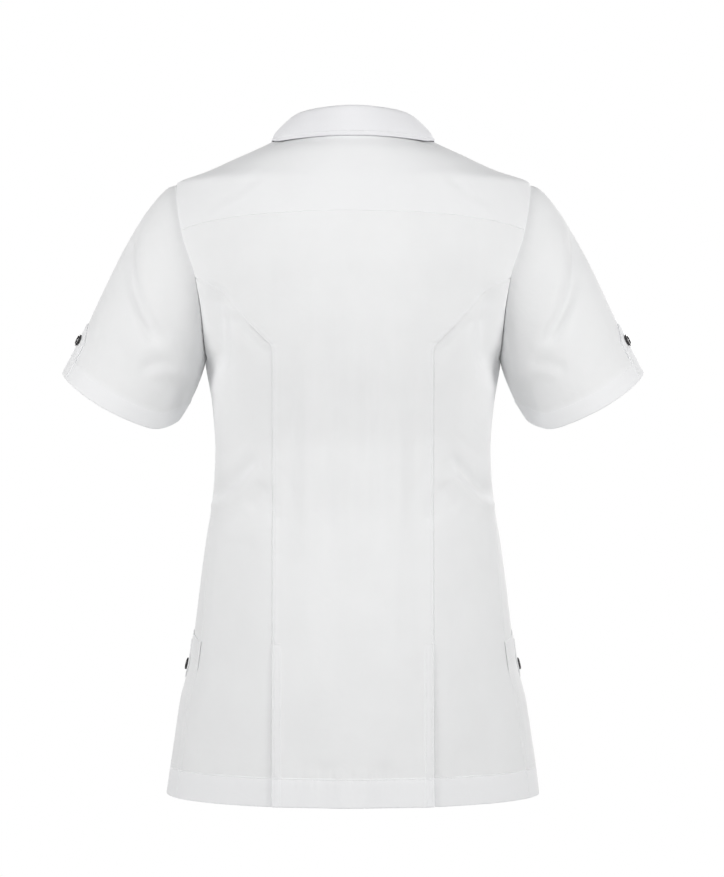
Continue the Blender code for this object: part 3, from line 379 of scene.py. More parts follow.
def body_at(angle, height, out=0.0):
    """Points of the creased body surface moved out by a distance, and the way it faces there."""
    points, facing = bare_body(angle, height), body_facing(angle, height)
    shift = np.asarray(out) - crease_depth(CREASES, points) + unevenness(points, 0.00022)
    return points + facing * shift[..., None], facing


def angle_across(across, height, front):
    """The angle at which the body's section is a given distance from the centre line."""
    width, _, power = ring_sizes(height, front)
    turn = np.arcsin(np.clip(across / width, 0, 1) ** (power / 2))
    return np.pi - turn if front else turn


def armhole_angle(height, front):
    """The angle at which the armhole's edge lies."""
    _, depth, power = ring_sizes(height, front)
    turn = np.arccos((hole_depth(height, front) / depth) ** (power / 2))
    return np.pi - turn if front else turn


def side_seam_angle(height):
    """The side seam starts at the underarm and runs to the back of the hip."""
    hip = math.radians(68.6)
    return math.pi / 2 + (hip - math.pi / 2) * soft_step((-0.250 - height) / 0.280)


def armhole_heights(low, high, shares, front):
    """Heights at shares of the way along the armhole's edge."""
    sweep = np.linspace(0, math.pi, 400)
    height = UNDERARM + (SHOULDER_TIP - UNDERARM) * (1 - np.cos(sweep)) / 2
    run = run_length(bare_body(armhole_angle(height, front), height))
    start, end = np.interp((low, high), height, run)
    found = np.interp(start + (end - start) * shares, run, height)
    found[0], found[-1] = low, high
    return found


def neck_height(angle):
    return smooth(np.radians(NECK["angle"]), NECK["height"], np.abs(angle))


def back_princess_angle(height, less=0.0):
    across = smooth(BACK_PRINCESS["height"], BACK_PRINCESS["across"], height)
    return angle_across(across - less, height, False)


def front_princess_angle(height):
    return angle_across(smooth(FRONT_PRINCESS["height"], FRONT_PRINCESS["across"], height), height, True)


# ---------------------------------------------------------------- sleeve surface

def closed_curve(points, count):
    """A smooth closed curve through points."""
    sections = []
    t = np.linspace(0, 1, count, endpoint=False)[:, None]
    for i in range(len(points)):
        before, start, end, after = (points[(i + k) % len(points)] for k in (-1, 0, 1, 2))
        way_out, way_in = (end - before) / 2, (after - start) / 2
        sections.append((1 + 2 * t) * (1 - t) ** 2 * start + t * (1 - t) ** 2 * way_out
                        + t * t * (3 - 2 * t) * end + t * t * (t - 1) * way_in)
    return np.concatenate(sections + [points[:1]])


def half_and_half(curve, middle):
    """Share of the way round at each point of a loop: 0 to 0.5 up to its middle point, then to 1."""
    run = run_length(curve)
    first = 0.5 * run[:middle + 1] / run[middle]
    second = 0.5 + 0.5 * (run[middle + 1:] - run[middle]) / (run[-1] - run[middle])
    return np.concatenate((first, second))


def armhole_loop():
    """The armhole's edge, from the shoulder tip down the back to the underarm and up the front."""
    sweep = np.linspace(0, math.pi, 300)
    down = SHOULDER_TIP + (UNDERARM - SHOULDER_TIP) * (1 - np.cos(sweep)) / 2
    back = bare_body(armhole_angle(down, False), down)
    front = bare_body(armhole_angle(down, True), down)[::-1]
    curve = np.concatenate((back, front[1:]))
    return curve, half_and_half(curve, len(back) - 1)


def cuff_loop():
    """The sleeve's rim, from its outer point round the back."""
    across = np.cross(SLEEVE_LINE, (0.0, 1.0, 0.0))
    across = across if across[0] > 0 else -across
    points = (RIM_CENTRE + CUFF["across"][:, None] * across + CUFF["along"][:, None] * SLEEVE_LINE
              + CUFF["behind"][:, None] * np.array((0.0, 1.0, 0.0)))
    count = 40
    curve = closed_curve(points, count)
    return curve, half_and_half(curve, UNDERARM_ROW * count)


ARMHOLE = armhole_loop()
RIM = cuff_loop()
SLEEVE_START, SLEEVE_END = ARMHOLE[0].mean(axis=0), RIM[0].mean(axis=0)
SLEEVE_AXIS = unit(SLEEVE_END - SLEEVE_START)


def on_loop(loop, around):
    curve, share = loop
    return np.stack([np.interp(around, share, curve[:, axis]) for axis in range(3)], axis=-1)


def bare_sleeve(around, along):
    """The left sleeve: 0 round is its outer line, 0.25 the back; 0 along is the armhole, 1 the rim."""
    around, along = np.broadcast_arrays(np.asarray(around, float) % 1.0, np.asarray(along, float))
    top, rim = on_loop(ARMHOLE, around), on_loop(RIM, around)
    t = along[..., None]
    straight = (1 - t) * top + t * rim
    away = straight - ((1 - t) * SLEEVE_START + t * SLEEVE_END)
    away = unit(away - (away @ SLEEVE_AXIS)[..., None] * SLEEVE_AXIS)
    turn = 2 * math.pi * around
    cap_swell = CAP_SWELL * ((1 + np.cos(turn)) / 2) ** 2
    side_swell = SIDE_SWELL * np.sin(turn) ** 2
    under_swell = UNDER_SWELL * ((1 - np.cos(turn)) / 2) ** 2
    from_seam = np.maximum(along - SWELL_FROM, 0.0)
    rise = from_seam ** (0.5 + 0.35 * np.sin(turn) ** 2)      # steep at the shoulder, gentle at its sides
    swell = ((cap_swell + side_swell) * rise * (1 - np.minimum(along, 1)) ** 1.5
             + under_swell * along * (1 - along))
    return straight + away * swell[..., None]


def sleeve_facing(around, along):
    turn, lift = 0.01, 0.02
    across = bare_sleeve(around + turn, along) - bare_sleeve(around - turn, along)
    low, high = np.minimum(along + lift, 1.0), np.maximum(along - lift, 0.0)
    down = bare_sleeve(around, low) - bare_sleeve(around, high)
    return unit(np.cross(down, across))


def sleeve_at(around, along, side, out=0.0):
    """Points of the creased sleeve on one side of the wearer, and the way it faces there."""
    around, along = np.broadcast_arrays(np.asarray(around, float), np.asarray(along, float))
    points, facing = bare_sleeve(around, along), sleeve_facing(around, along)
    settled = soft_step(along * 6) * soft_step((1 - along) * 6)
    mirror = np.array((side, 1, 1))
    shift = np.asarray(out) - crease_depth(SLEEVE_CREASES, points * mirror) * settled
    shift = shift + unevenness(points * mirror, 0.00025) * settled
    return (points + facing * shift[..., None]) * mirror, facing * mirror


# ---------------------------------------------------------------- where points stand

def beside(marks, length=None):
    """Distances from an edge where points stand: at it, and close together beside each mark."""
    steps = (0, 0.00035, 0.0008, 0.0015)
    found = {round(mark + way * step, 6) for mark in (0.0, *marks) for step in steps for way in (-1, 1)}
    found = sorted(d for d in found if d >= 0 and (length is None or d <= length))
    return np.array(found)


def filled(places, end, cell=CELL):
    """Places carried on to the end, with no step longer than a cell."""
    places = list(places) + ([end] if end - places[-1] > 1e-6 else [])
    out = []
    for a, b in zip(places[:-1], places[1:]):
        out.extend(np.linspace(a, b, max(1, math.ceil((b - a) / cell - 1e-6)), endpoint=False))
    return np.array(out + [places[-1]])


def shares_of(length, near_start, near_end, cell=CELL):
    """Shares of a length at which points stand, close together beside marks from each end."""
    start, end = beside(near_start), length - beside(near_end)[::-1]
    middle = filled([start[-1], end[0]], end[0], cell)[1:-1]
    return filled(np.concatenate((start, middle, end)), length, cell) / length


def edge(angle, height):
    """One edge of a panel, as angles and heights."""
    angle, height = np.broadcast_arrays(np.asarray(angle, float), np.asarray(height, float))
    return np.stack((angle, height), axis=-1)


def laid_out(inner, outer, near_inner, near_outer, bend=None, level_rows=0):
    """Angles and heights all over a panel. Columns stand at set distances from its side edges, and rows above
    the level ones bend by what the upper edge asks for at each share of the way across."""
    near_inner, near_outer = beside(near_inner), beside(near_outer)
    f = np.linspace(0, 1, 80)
    widths, spans = [], []
    for start, end in zip(inner, outer):
        way = start + (end - start) * f[:, None]
        run = run_length(bare_body(way[:, 0], way[:, 1]))
        spans.append(run)
        widths.append(run[-1])
    fill = math.ceil((max(widths) - near_inner[-1] - near_outer[-1]) / CELL)
    share = []
    for run, width in zip(spans, widths):
        start = near_inner * min(1.0, 0.45 * width / near_inner[-1])
        end = width - near_outer * min(1.0, 0.45 * width / near_outer[-1])
        middle = np.linspace(start[-1], end[-1], fill + 1)[1:-1]
        share.append(np.interp(np.concatenate((start, middle, end[::-1])), run, f))
    share = np.array(share)
    grid = (1 - share[..., None]) * inner[:, None] + share[..., None] * outer[:, None]
    angle, height = grid[..., 0], grid[..., 1]
    if bend is not None:
        rise = np.clip((np.arange(len(inner)) - level_rows) / (len(inner) - 1 - level_rows), 0, 1)[:, None]
        height = height + rise * bend(share)
    return angle, height


class Surface:
    """A grid of points on a surface with its facing, and how far each point is from the grid's four edges."""

    def __init__(self, points, facing):
        self.points, self.facing = points, facing
        self.left = runs(points, 1)
        self.right = self.left[:, -1:] - self.left
        self.low = runs(points, 0)
        self.high = self.low[-1:] - self.low

    def moved(self, out):
        self.points = self.points + self.facing * np.asarray(out)[..., None]


# ---------------------------------------------------------------- sewing

def turned_edge(distance, drop=0.0007, width=0.0011):
    """The cloth curls in where it turns under at an edge."""
    return -drop * np.clip(1 - distance / width, 0, 1) ** 2


def layers(distance, reach, height=TURNED, soft=0.0012):
    """Turned-in layers lift the cloth as far as they reach from an edge."""
    return height * soft_step((reach - distance) / soft + 0.5)


def stitch_groove(distance, depth=0.00028, width=0.0008):
    """Thread pulls the cloth in along a row of stitches."""
    return -depth * np.exp(-(distance / width) ** 2)


def pucker(along, distance, seed, size=0.00016, reach=0.0065):
    """Cloth gathers a little along a row of stitches, unevenly."""
    turn = along * 2 * math.pi
    wave = (np.sin(turn / 0.0102 + seed) + 0.8 * np.sin(turn / 0.0171 + 2.3 * seed)
            + 0.6 * np.sin(turn / 0.0067 + 3.1 * seed))
    return size * wave * np.exp(-(distance / reach) ** 2)


def tucked_under(distance, reach=TUCKED, drop=SEAM_DROP):
    """A seam allowance dips under the piece that covers it."""
    return -drop * soft_step((reach + 0.0007 - distance) / 0.0014)


def hem_band(distance, band, seed, along):
    """Two turned layers up to a row of stitches."""
    return (layers(distance, band, 2 * TURNED, 0.0009) + stitch_groove(distance - band + HEM_STITCH, 0.00035)
            + turned_edge(distance) + pucker(along, distance - band, seed, 0.00012, 0.008))


class Thread:
    """Rows of stitches, kept until they become one piece."""

    def __init__(self):
        self.points, self.faces = [], []
        self.count = 0

    def stitches(self, middle, way, facing, length, half_width=THREAD):
        """One plump stitch at each middle, its ends sunk into the cloth."""
        way, facing = unit(way), unit(facing)
        side = np.cross(facing, way)
        sunk, sides_sunk = -0.0002, -0.00005
        shape = [(-0.5 * length, 0.0, sunk)]
        for place in (-0.3 * length, 0.3 * length):
            shape += [(place, -half_width, sides_sunk), (place, 0.0, half_width * 1.1),
                      (place, half_width, sides_sunk)]
        shape.append((0.5 * length, 0.0, sunk))
        parts = [middle + a * way + b * side + c * facing for a, b, c in shape]
        self.points.append(np.stack(parts, axis=1).reshape(-1, 3))
        faces = [(0, 2, 1), (0, 3, 2), (1, 2, 5, 4), (2, 3, 6, 5), (4, 5, 7), (5, 6, 7)]
        for k in range(len(middle)):
            base = self.count + k * 8
            self.faces += [tuple(base + i for i in face) for face in faces]
        self.count += len(middle) * 8

    def row(self, points, facing, pitch=STITCH, length=STITCH_LENGTH):
        """Stitches along a line."""
        run = run_length(points)
        number = int(run[-1] / pitch)
        if number < 1:
            return
        place = (np.arange(number) + 0.5) * run[-1] / number

        def at(values, where):
            return np.stack([np.interp(where, run, values[:, axis]) for axis in range(3)], axis=-1)

        way = at(points, place + pitch * 0.4) - at(points, place - pitch * 0.4)
        self.stitches(at(points, place), way, at(facing, place), length)

    def across(self, points, facing, length, pitch=0.0006):
        """Close stitches that lie across a line, as in a tack or a buttonhole."""
        run = run_length(points)
        number = max(2, int(run[-1] / pitch))
        place = (np.arange(number) + 0.5) * run[-1] / number
        at = [np.interp(place, run, points[:, axis]) for axis in range(3)]
        face = np.stack([np.interp(place, run, facing[:, axis]) for axis in range(3)], axis=-1)
        middle = np.stack(at, axis=-1)
        way = np.cross(face, np.gradient(middle, axis=0))
        self.stitches(middle, way, face, length, 0.0003)

    def piece(self, name, material):
        mesh = bpy.data.meshes.new(name)
        mesh.from_pydata(np.concatenate(self.points).tolist(), [], self.faces)
        mesh.shade_smooth()
        mesh.materials.append(material)
        thing = bpy.data.objects.new(name, mesh)
        bpy.context.scene.collection.objects.link(thing)
        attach(thing, "root")


# ---------------------------------------------------------------- finishes

def colour(code):
    """An sRGB hex colour as the shader's linear one."""
    parts = [int(code[i:i + 2], 16) / 255 for i in (0, 2, 4)]
    return tuple(p / 12.92 if p <= 0.04045 else ((p + 0.055) / 1.055) ** 2.4 for p in parts) + (1.0,)


def add_node(tree, kind, settings=None, links=None):
    """Add a node, set its properties and sockets, and link others' outputs to its sockets."""
    node = tree.nodes.new(kind)
    for key, value in (settings or {}).items():
        if isinstance(key, str) and hasattr(node, key):
            setattr(node, key, value)
        else:
            node.inputs[key].default_value = value
    for key, source in (links or {}).items():
        tree.links.new(source, node.inputs[key])
    return node


def start_material(name):
    material = bpy.data.materials.new(name)
    material.use_nodes = True
    return material, material.node_tree, material.node_tree.nodes["Principled BSDF"]


def polycotton_twill(name, light, dark, weave_depth, crumple):
    """Polyester-cotton twill, piece-dyed white and pressed: matt, a soft sheen at glancing angles, and a fine
    diagonal weave. Real twill lines are 0.5 mm apart. They are drawn 0.8 mm apart so that they show close to.
    One layer lets some light through and looks greyer than hems, seams and double pieces do; this is painted
    light: the base colour is painted lighter wherever the cloth is doubled."""
    twill_step = 0.0008
    material, tree, shader = start_material(name)
    cloth_place = add_node(tree, "ShaderNodeUVMap", {"uv_map": "cloth"}).outputs["UV"]
    on_body = add_node(tree, "ShaderNodeTexCoord").outputs["Object"]
    twill = add_node(tree, "ShaderNodeTexWave", {
        "wave_type": "BANDS", "bands_direction": "DIAGONAL", "wave_profile": "SIN",
        "Scale": 2 * math.pi / (10 * twill_step * math.sqrt(2)), "Distortion": 0.6, "Detail": 1.0,
        "Detail Scale": 0.4}, {"Vector": cloth_place})
    yarn_step = add_node(tree, "ShaderNodeVectorMath", {
        "operation": "MULTIPLY", 1: (1 / 0.0009, 1 / 0.009, 1.0)}, {0: cloth_place})
    yarn = add_node(tree, "ShaderNodeTexNoise", {"Scale": 1.0, "Detail": 2.0, "Roughness": 0.6},
                    {"Vector": yarn_step.outputs[0]})
    shade = add_node(tree, "ShaderNodeTexNoise", {"Scale": 18.0, "Detail": 3.0, "Roughness": 0.55},
                     {"Vector": on_body})
    press = add_node(tree, "ShaderNodeTexNoise", {"Scale": 55.0, "Detail": 2.5, "Roughness": 0.5,
                                                  "Distortion": 0.6}, {"Vector": on_body})
    tint = add_node(tree, "ShaderNodeMapRange", {1: 0.35, 2: 0.65, 3: 0.0, 4: 1.0}, {0: shade.outputs["Fac"]})
    mottled = add_node(tree, "ShaderNodeMix", {"data_type": "RGBA", 6: colour(light), 7: colour(dark)},
                       {0: tint.outputs[0]})
    # painted light: where the cloth is doubled, its base colour is painted lighter in place of the light that
    # one layer lets through
    doubled_for_painted_light = add_node(tree, "ShaderNodeAttribute", {"attribute_name": "doubled"})
    base = add_node(tree, "ShaderNodeMix", {"data_type": "RGBA", 7: colour("eeeff1")},
                    {0: doubled_for_painted_light.outputs["Fac"], 6: mottled.outputs[2]})
    rough = add_node(tree, "ShaderNodeMapRange", {1: 0.3, 2: 0.7, 3: 0.78, 4: 0.90}, {0: yarn.outputs["Fac"]})
    weave = add_node(tree, "ShaderNodeMath", {"operation": "MULTIPLY_ADD", 1: 0.6}, {
        0: yarn.outputs["Fac"], 2: twill.outputs["Fac"]})
    pressed = add_node(tree, "ShaderNodeBump", {"Strength": 1.0, "Distance": crumple},
                       {"Height": press.outputs["Fac"]})
    woven = add_node(tree, "ShaderNodeBump", {"Strength": 1.0, "Distance": weave_depth},
                     {"Height": weave.outputs[0], "Normal": pressed.outputs[0]})
    shader.inputs["Specular IOR Level"].default_value = 0.25
    shader.inputs["IOR"].default_value = 1.5
    shader.inputs["Metallic"].default_value = 0.0
    shader.inputs["Sheen Weight"].default_value = 0.12
    shader.inputs["Sheen Roughness"].default_value = 0.45
    tree.links.new(base.outputs[2], shader.inputs["Base Color"])
    tree.links.new(rough.outputs[0], shader.inputs["Roughness"])
    tree.links.new(woven.outputs[0], shader.inputs["Normal"])
    return material


def spun_thread():
    """Spun polyester sewing thread, white: a little glossier than the cloth, and twisted."""
    material, tree, shader = start_material("spun polyester thread")
    on_body = add_node(tree, "ShaderNodeTexCoord").outputs["Object"]
    twist_step = 0.0006
    twist = add_node(tree, "ShaderNodeTexWave", {
        "bands_direction": "DIAGONAL", "Scale": 2 * math.pi / (10 * twist_step)}, {"Vector": on_body})
    tint = add_node(tree, "ShaderNodeMix", {"data_type": "RGBA", 6: colour("e9eaec"), 7: colour("f6f6f7")},
                    {0: twist.outputs["Fac"]})
    wound = add_node(tree, "ShaderNodeBump", {"Strength": 0.6, "Distance": 0.00008},
                     {"Height": twist.outputs["Fac"]})
    shader.inputs["Roughness"].default_value = 0.5
    shader.inputs["Sheen Weight"].default_value = 0.1
    tree.links.new(tint.outputs[2], shader.inputs["Base Color"])
    tree.links.new(wound.outputs[0], shader.inputs["Normal"])
    return material


def resin_button():
    """Cast polyester resin, near black: polished, with the faint streaks and turning marks of a cut blank."""
    material, tree, shader = start_material("cast polyester resin")
    on_body = add_node(tree, "ShaderNodeTexCoord").outputs["Object"]
    streak = add_node(tree, "ShaderNodeTexNoise", {"Scale": 420.0, "Detail": 3.0, "Distortion": 1.2},
                      {"Vector": on_body})
    tint = add_node(tree, "ShaderNodeMix", {"data_type": "RGBA", 6: colour("141315"), 7: colour("2b292b")},
                    {0: streak.outputs["Fac"]})
    rough = add_node(tree, "ShaderNodeMapRange", {1: 0.3, 2: 0.7, 3: 0.22, 4: 0.38},
                     {0: streak.outputs["Fac"]})
    turned = add_node(tree, "ShaderNodeTexNoise", {"Scale": 1500.0, "Detail": 1.0}, {"Vector": on_body})
    marks = add_node(tree, "ShaderNodeBump", {"Strength": 0.25, "Distance": 0.00005},
                     {"Height": turned.outputs["Fac"]})
    shader.inputs["IOR"].default_value = 1.54
    shader.inputs["Coat Weight"].default_value = 0.25
    shader.inputs["Coat Roughness"].default_value = 0.12
    tree.links.new(tint.outputs[2], shader.inputs["Base Color"])
    tree.links.new(rough.outputs[0], shader.inputs["Roughness"])
    tree.links.new(marks.outputs[0], shader.inputs["Normal"])
    return material


def studio_floor():
    """Matt painted board, pale, with the least unevenness of a roller."""
    material, tree, shader = start_material("matt painted board")
    on_floor = add_node(tree, "ShaderNodeTexCoord").outputs["Object"]
    paint = add_node(tree, "ShaderNodeTexNoise", {"Scale": 3.0, "Detail": 4.0}, {"Vector": on_floor})
    tint = add_node(tree, "ShaderNodeMix", {"data_type": "RGBA", 6: colour("f2f2f2"), 7: colour("f7f7f6")},
                    {0: paint.outputs["Fac"]})
    shader.inputs["Roughness"].default_value = 0.85
    tree.links.new(tint.outputs[2], shader.inputs["Base Color"])
    return material


BODY_CLOTH = polycotton_twill("polyester-cotton twill", "eaebec", "e8e9ea", 0.00002, 0.0004)
COLLAR_CLOTH = polycotton_twill("polyester-cotton twill, interlined", "e4e4e8", "e2e2e6", 0.00002, 0.0003)
THREAD_FINISH = spun_thread()
BUTTON_FINISH = resin_button()
topstitching = {"body": Thread(), "sleeves": Thread(), "collar": Thread(), "fronts": Thread()}


# ---------------------------------------------------------------- shells

def shell(name, face, facing, thickness, across, along, material, nodes,
          closed=False):
    """A closed thin shell of cloth: the face, its inner side and the edge between them, with the cloth's own
    lengths as its UV map. It rides on the body and stands for its nodes."""
    rows, columns = face.shape[:2]
    count = rows * columns
    back = face - facing * np.broadcast_to(thickness, (rows, columns))[..., None]
    index = np.arange(count).reshape(rows, columns)
    if closed:
        index = np.concatenate((index, index[:, :1]), axis=1)
    quads = np.stack((index[:-1, :-1], index[:-1, 1:], index[1:, 1:], index[1:, :-1]), axis=-1).reshape(-1, 4)
    rims = [(index[0, 1:], index[0, :-1]), (index[-1, :-1], index[-1, 1:])]
    if not closed:
        rims += [(index[:-1, 0], index[1:, 0]), (index[1:, -1], index[:-1, -1])]
    edges = [np.stack((a, b, b + count, a + count), axis=-1) for a, b in rims]
    faces = np.concatenate([quads, quads[:, ::-1] + count, *edges])
    middle = (rows // 2, columns // 2)
    here = face[middle]
    seen = np.cross(face[middle[0], middle[1] + 1] - here, face[middle[0] + 1, middle[1]] - here)
    if np.dot(seen, facing[middle]) < 0:
        faces = faces[:, ::-1]
    mesh = bpy.data.meshes.new(name)
    mesh.from_pydata(np.concatenate((face.reshape(-1, 3), back.reshape(-1, 3))).tolist(), [], faces.tolist())
    lengths = np.stack((across, along), axis=-1).reshape(-1, 2)
    corner = np.empty(len(mesh.loops), np.int32)
    mesh.loops.foreach_get("vertex_index", corner)
    place = np.concatenate((lengths, lengths + 0.5))[corner]
    if closed:      # the seam's cells run on past the last column instead of back to the first
        where = place.reshape(-1, 4, 2)
        girth = across.max() + np.linalg.norm(face[0, -1] - face[0, 0])
        jump = where[..., 0].max(axis=1) - where[..., 0].min(axis=1) > girth / 2
        low = where[..., 0] < where[..., 0].max(axis=1, keepdims=True) - girth / 2
        where[..., 0] += girth * (low & jump[:, None])
    mesh.uv_layers.new(name="cloth").data.foreach_set("uv", place.ravel().astype(np.float32))
    doubled = np.clip((np.broadcast_to(thickness, (rows, columns)) - CLOTH) / (3 * TURNED), 0, 1).ravel()
    mesh.attributes.new("doubled", "FLOAT", "POINT").data.foreach_set(
        "value", np.concatenate((doubled, doubled)).astype(np.float32))
    mesh.shade_smooth()
    mesh.materials.append(material)
    piece = bpy.data.objects.new(name, mesh)
    bpy.context.scene.collection.objects.link(piece)
    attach(piece, "root")
    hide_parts(*nodes)


def nearest(values, wanted):
    """Where a value stands that is nearest to the wanted one."""
    return int(np.argmin(np.abs(values - wanted)))


def line(surface, direction, inset):
    """The row or column of a grid that lies nearest to an inset from one edge."""
    distance = getattr(surface, direction)
    if direction in ("left", "right"):
        column = nearest(distance[distance.shape[0] // 3], inset)
        return surface.points[:, column], surface.facing[:, column]
    row = nearest(distance[:, distance.shape[1] // 2], inset)
    return surface.points[row], surface.facing[row]


def topstitch(thread, surface, direction, inset, first=1, last=-1):
    """A row of stitches along one edge, less a few points at its ends."""
    points, facing = line(surface, direction, inset)
    thread.row(points[first:last], facing[first:last])


# Shares of the way up at which the rows of all body panels stand: hem band, skirt, and waist to underarm.
SKIRT_LOW = HEM + filled(np.concatenate((beside((HEM_BAND - HEM_STITCH, HEM_BAND)), [0.12])), VENT_TOP - HEM)
SKIRT_HIGH = shares_of(WAIST_TOP - VENT_TOP, (), ())


def skirt(top):
    return np.concatenate((SKIRT_LOW, VENT_TOP + (top - VENT_TOP) * SKIRT_HIGH[1:]))


def mirrored(angle, height):
    """Half a panel and its mirror image as one, from the wearer's right to left."""
    both_angles = np.concatenate((-angle[:, :0:-1], angle), axis=1)
    return both_angles, np.concatenate((height[:, :0:-1], height), axis=1)


def make_back_centre():
    """From the hem to the yoke. Its edges are topstitched over the side panels and hang free at the vents."""
    seam = shares_of(BACK_BEND, (), ())
    top = shares_of(0.052, (), (TUCKED,))
    low = skirt(WAIST_TOP)
    rise = WAIST_TOP + (BACK_CORNER - WAIST_TOP) * seam[1:]
    hole = armhole_heights(BACK_CORNER, YOKE_END + TUCKED, top, False)[1:]
    outer = np.concatenate((edge(back_princess_angle(low), low), edge(back_princess_angle(rise), rise),
                            edge(armhole_angle(hole, False), hole)))
    stretch = (YOKE_CENTRE + TUCKED - HEM) / (YOKE_END + TUCKED - HEM)
    inner = edge(0.0, HEM + (outer[:, 1] - HEM) * stretch)

    def yoke_curve(share):
        drop = YOKE_END - YOKE_CENTRE
        return YOKE_CENTRE + TUCKED + drop * share ** 2 - ((1 - share) * inner[-1, 1] + share * outer[-1, 1])

    angle, height = laid_out(inner, outer, (), (EDGE_STITCH, SECOND_STITCH, 0.012), yoke_curve, len(low))
    angle, height = mirrored(angle, height)
    surface = Surface(*body_at(angle, height))
    side = np.minimum(surface.left, surface.right)
    up = surface.low
    below = soft_step((VENT_TOP - height) / 0.004)
    flare = soft_step((VENT_TOP - height) / 0.10) * np.exp(-(side / 0.016) ** 2)
    sewn = soft_step((BACK_CORNER - height) / 0.004)
    hem_wave = 0.0006 * np.sin(surface.left * 2 * math.pi / 0.083 + 0.6) * np.exp(-up / 0.03)
    reach = 0.0046 + 0.0052 * below
    edge_sewn = layers(side, reach) + stitch_groove(side - EDGE_STITCH) + pucker(up, side - EDGE_STITCH, 0.7)
    relief = (turned_edge(side) * (0.3 + 0.7 * sewn) + sewn * edge_sewn
              + below * (stitch_groove(side - SECOND_STITCH) + layers(side, 0.0100, 0.0003)) + 0.0010 * flare
              + hem_band(up, HEM_BAND, 1.9, surface.left) + tucked_under(surface.high) + hem_wave)
    surface.moved(relief)
    thick = CLOTH + layers(side, reach) * sewn + layers(up, HEM_BAND, 2 * TURNED)
    shell("back_centre_cloth", surface.points, surface.facing, thick, surface.left, up, BODY_CLOTH,
          ["back_centre"])
    thread = topstitching["body"]
    vent_rows, seam_rows = nearest(height[:, 0], VENT_TOP), nearest(height[:, 0], BACK_CORNER)
    tack_reach, tack_width = 0.0095, 0.0016
    for direction in ("left", "right"):
        topstitch(thread, surface, direction, EDGE_STITCH, 2, seam_rows)
        topstitch(thread, surface, direction, SECOND_STITCH, 2, vent_rows)
        tacked = getattr(surface, direction)[vent_rows] < tack_reach
        thread.across(surface.points[vent_rows][tacked], surface.facing[vent_rows][tacked], tack_width)
    topstitch(thread, surface, "low", HEM_BAND - HEM_STITCH, 2, -2)


def make_back_side(word, side):
    """Between the princess seam and the side seam; its inner edge lies under the centre panel."""
    point = BACK_CORNER - CORNER_GAP
    seam = shares_of(BACK_BEND, (), ())
    low, high = skirt(WAIST_TOP), skirt(UNDERARM)
    inner_height = np.concatenate((low, WAIST_TOP + (point - WAIST_TOP) * seam[1:]))
    under = TUCKED + (VENT_LAP - TUCKED) * soft_step((VENT_TOP - inner_height) / 0.006)
    narrow = 1 - soft_step((inner_height - WAIST_TOP) / (point - WAIST_TOP))
    inner = edge(back_princess_angle(inner_height, under * np.maximum(narrow, 0.15)), inner_height)
    hole = armhole_heights(UNDERARM, point, seam, False)[1:]
    outer = np.concatenate((edge(side_seam_angle(high), high), edge(armhole_angle(hole, False), hole)))
    angle, height = laid_out(inner, outer, (TUCKED,), (EDGE_STITCH,))
    if side < 0:
        angle = -angle
    surface = Surface(*body_at(angle, height))
    up, seam_side = surface.low, surface.right
    princess = smooth(BACK_PRINCESS["height"], BACK_PRINCESS["across"], height)
    past = np.abs(bare_body(angle, height)[..., 0]) - princess      # how far out of the princess seam
    vent = soft_step((VENT_TOP - height) / 0.02)
    lowered = (1 - vent) * SEAM_DROP * soft_step((0.0008 - past) / 0.0014) + vent * (
        -VENT_DROP * soft_step((0.012 - past) / 0.022))
    bend_height, bend_reach = -0.212, 0.022     # the seam sinks in at its bend
    lowered = lowered + 0.0022 * np.exp(-((height - bend_height) / bend_reach) ** 2 - (past / 0.0055) ** 2)
    below_arm = height < UNDERARM
    relief = (-lowered + (turned_edge(seam_side, 0.0005) + layers(seam_side, 0.008, 0.0002)) * below_arm
              + turned_edge(seam_side) * ~below_arm + hem_band(up, HEM_BAND, 0.4 + side, surface.left)
              + pucker(up, past, 2.2, 0.00018))
    surface.moved(relief)
    thick = CLOTH + layers(up, HEM_BAND, 2 * TURNED)
    shell(f"back_side_{word}_cloth", surface.points, surface.facing, thick, surface.left, up, BODY_CLOTH,
          [f"back_side_{word}"])
    topstitch(topstitching["body"], surface, "low", HEM_BAND - HEM_STITCH)


def make_front_side(word, side):
    """Between the front princess seam and the side seam, under the front's topstitched edge."""
    point = FRONT_CORNER - CORNER_GAP
    seam = shares_of(FRONT_BEND, (), ())
    low, high = skirt(WAIST_TOP), skirt(UNDERARM)
    inner_height = np.concatenate((low, WAIST_TOP + (point - WAIST_TOP) * seam[1:]))
    inner = edge(front_princess_angle(inner_height), inner_height)
    hole = armhole_heights(UNDERARM, point, seam, True)[1:]
    outer = np.concatenate((edge(side_seam_angle(high), high), edge(armhole_angle(hole, True), hole)))
    angle, height = laid_out(inner, outer, (EDGE_STITCH,), (EDGE_STITCH,))
    if side < 0:
        angle = -angle
    surface = Surface(*body_at(angle, height))
    up = surface.low
    relief = (turned_edge(surface.left) + turned_edge(surface.right)
              + layers(surface.right, 0.008, 0.0002) * (height < UNDERARM)
              + hem_band(up, HEM_BAND, 1.1 + side, surface.left) + pucker(up, surface.left, 1.2))
    surface.moved(relief)
    thick = CLOTH + layers(up, HEM_BAND, 2 * TURNED)
    shell(f"front_side_{word}_cloth", surface.points, surface.facing, thick, surface.left, up, BODY_CLOTH,
          [f"front_side_{word}"])
    topstitch(topstitching["fronts"], surface, "low", HEM_BAND - HEM_STITCH)


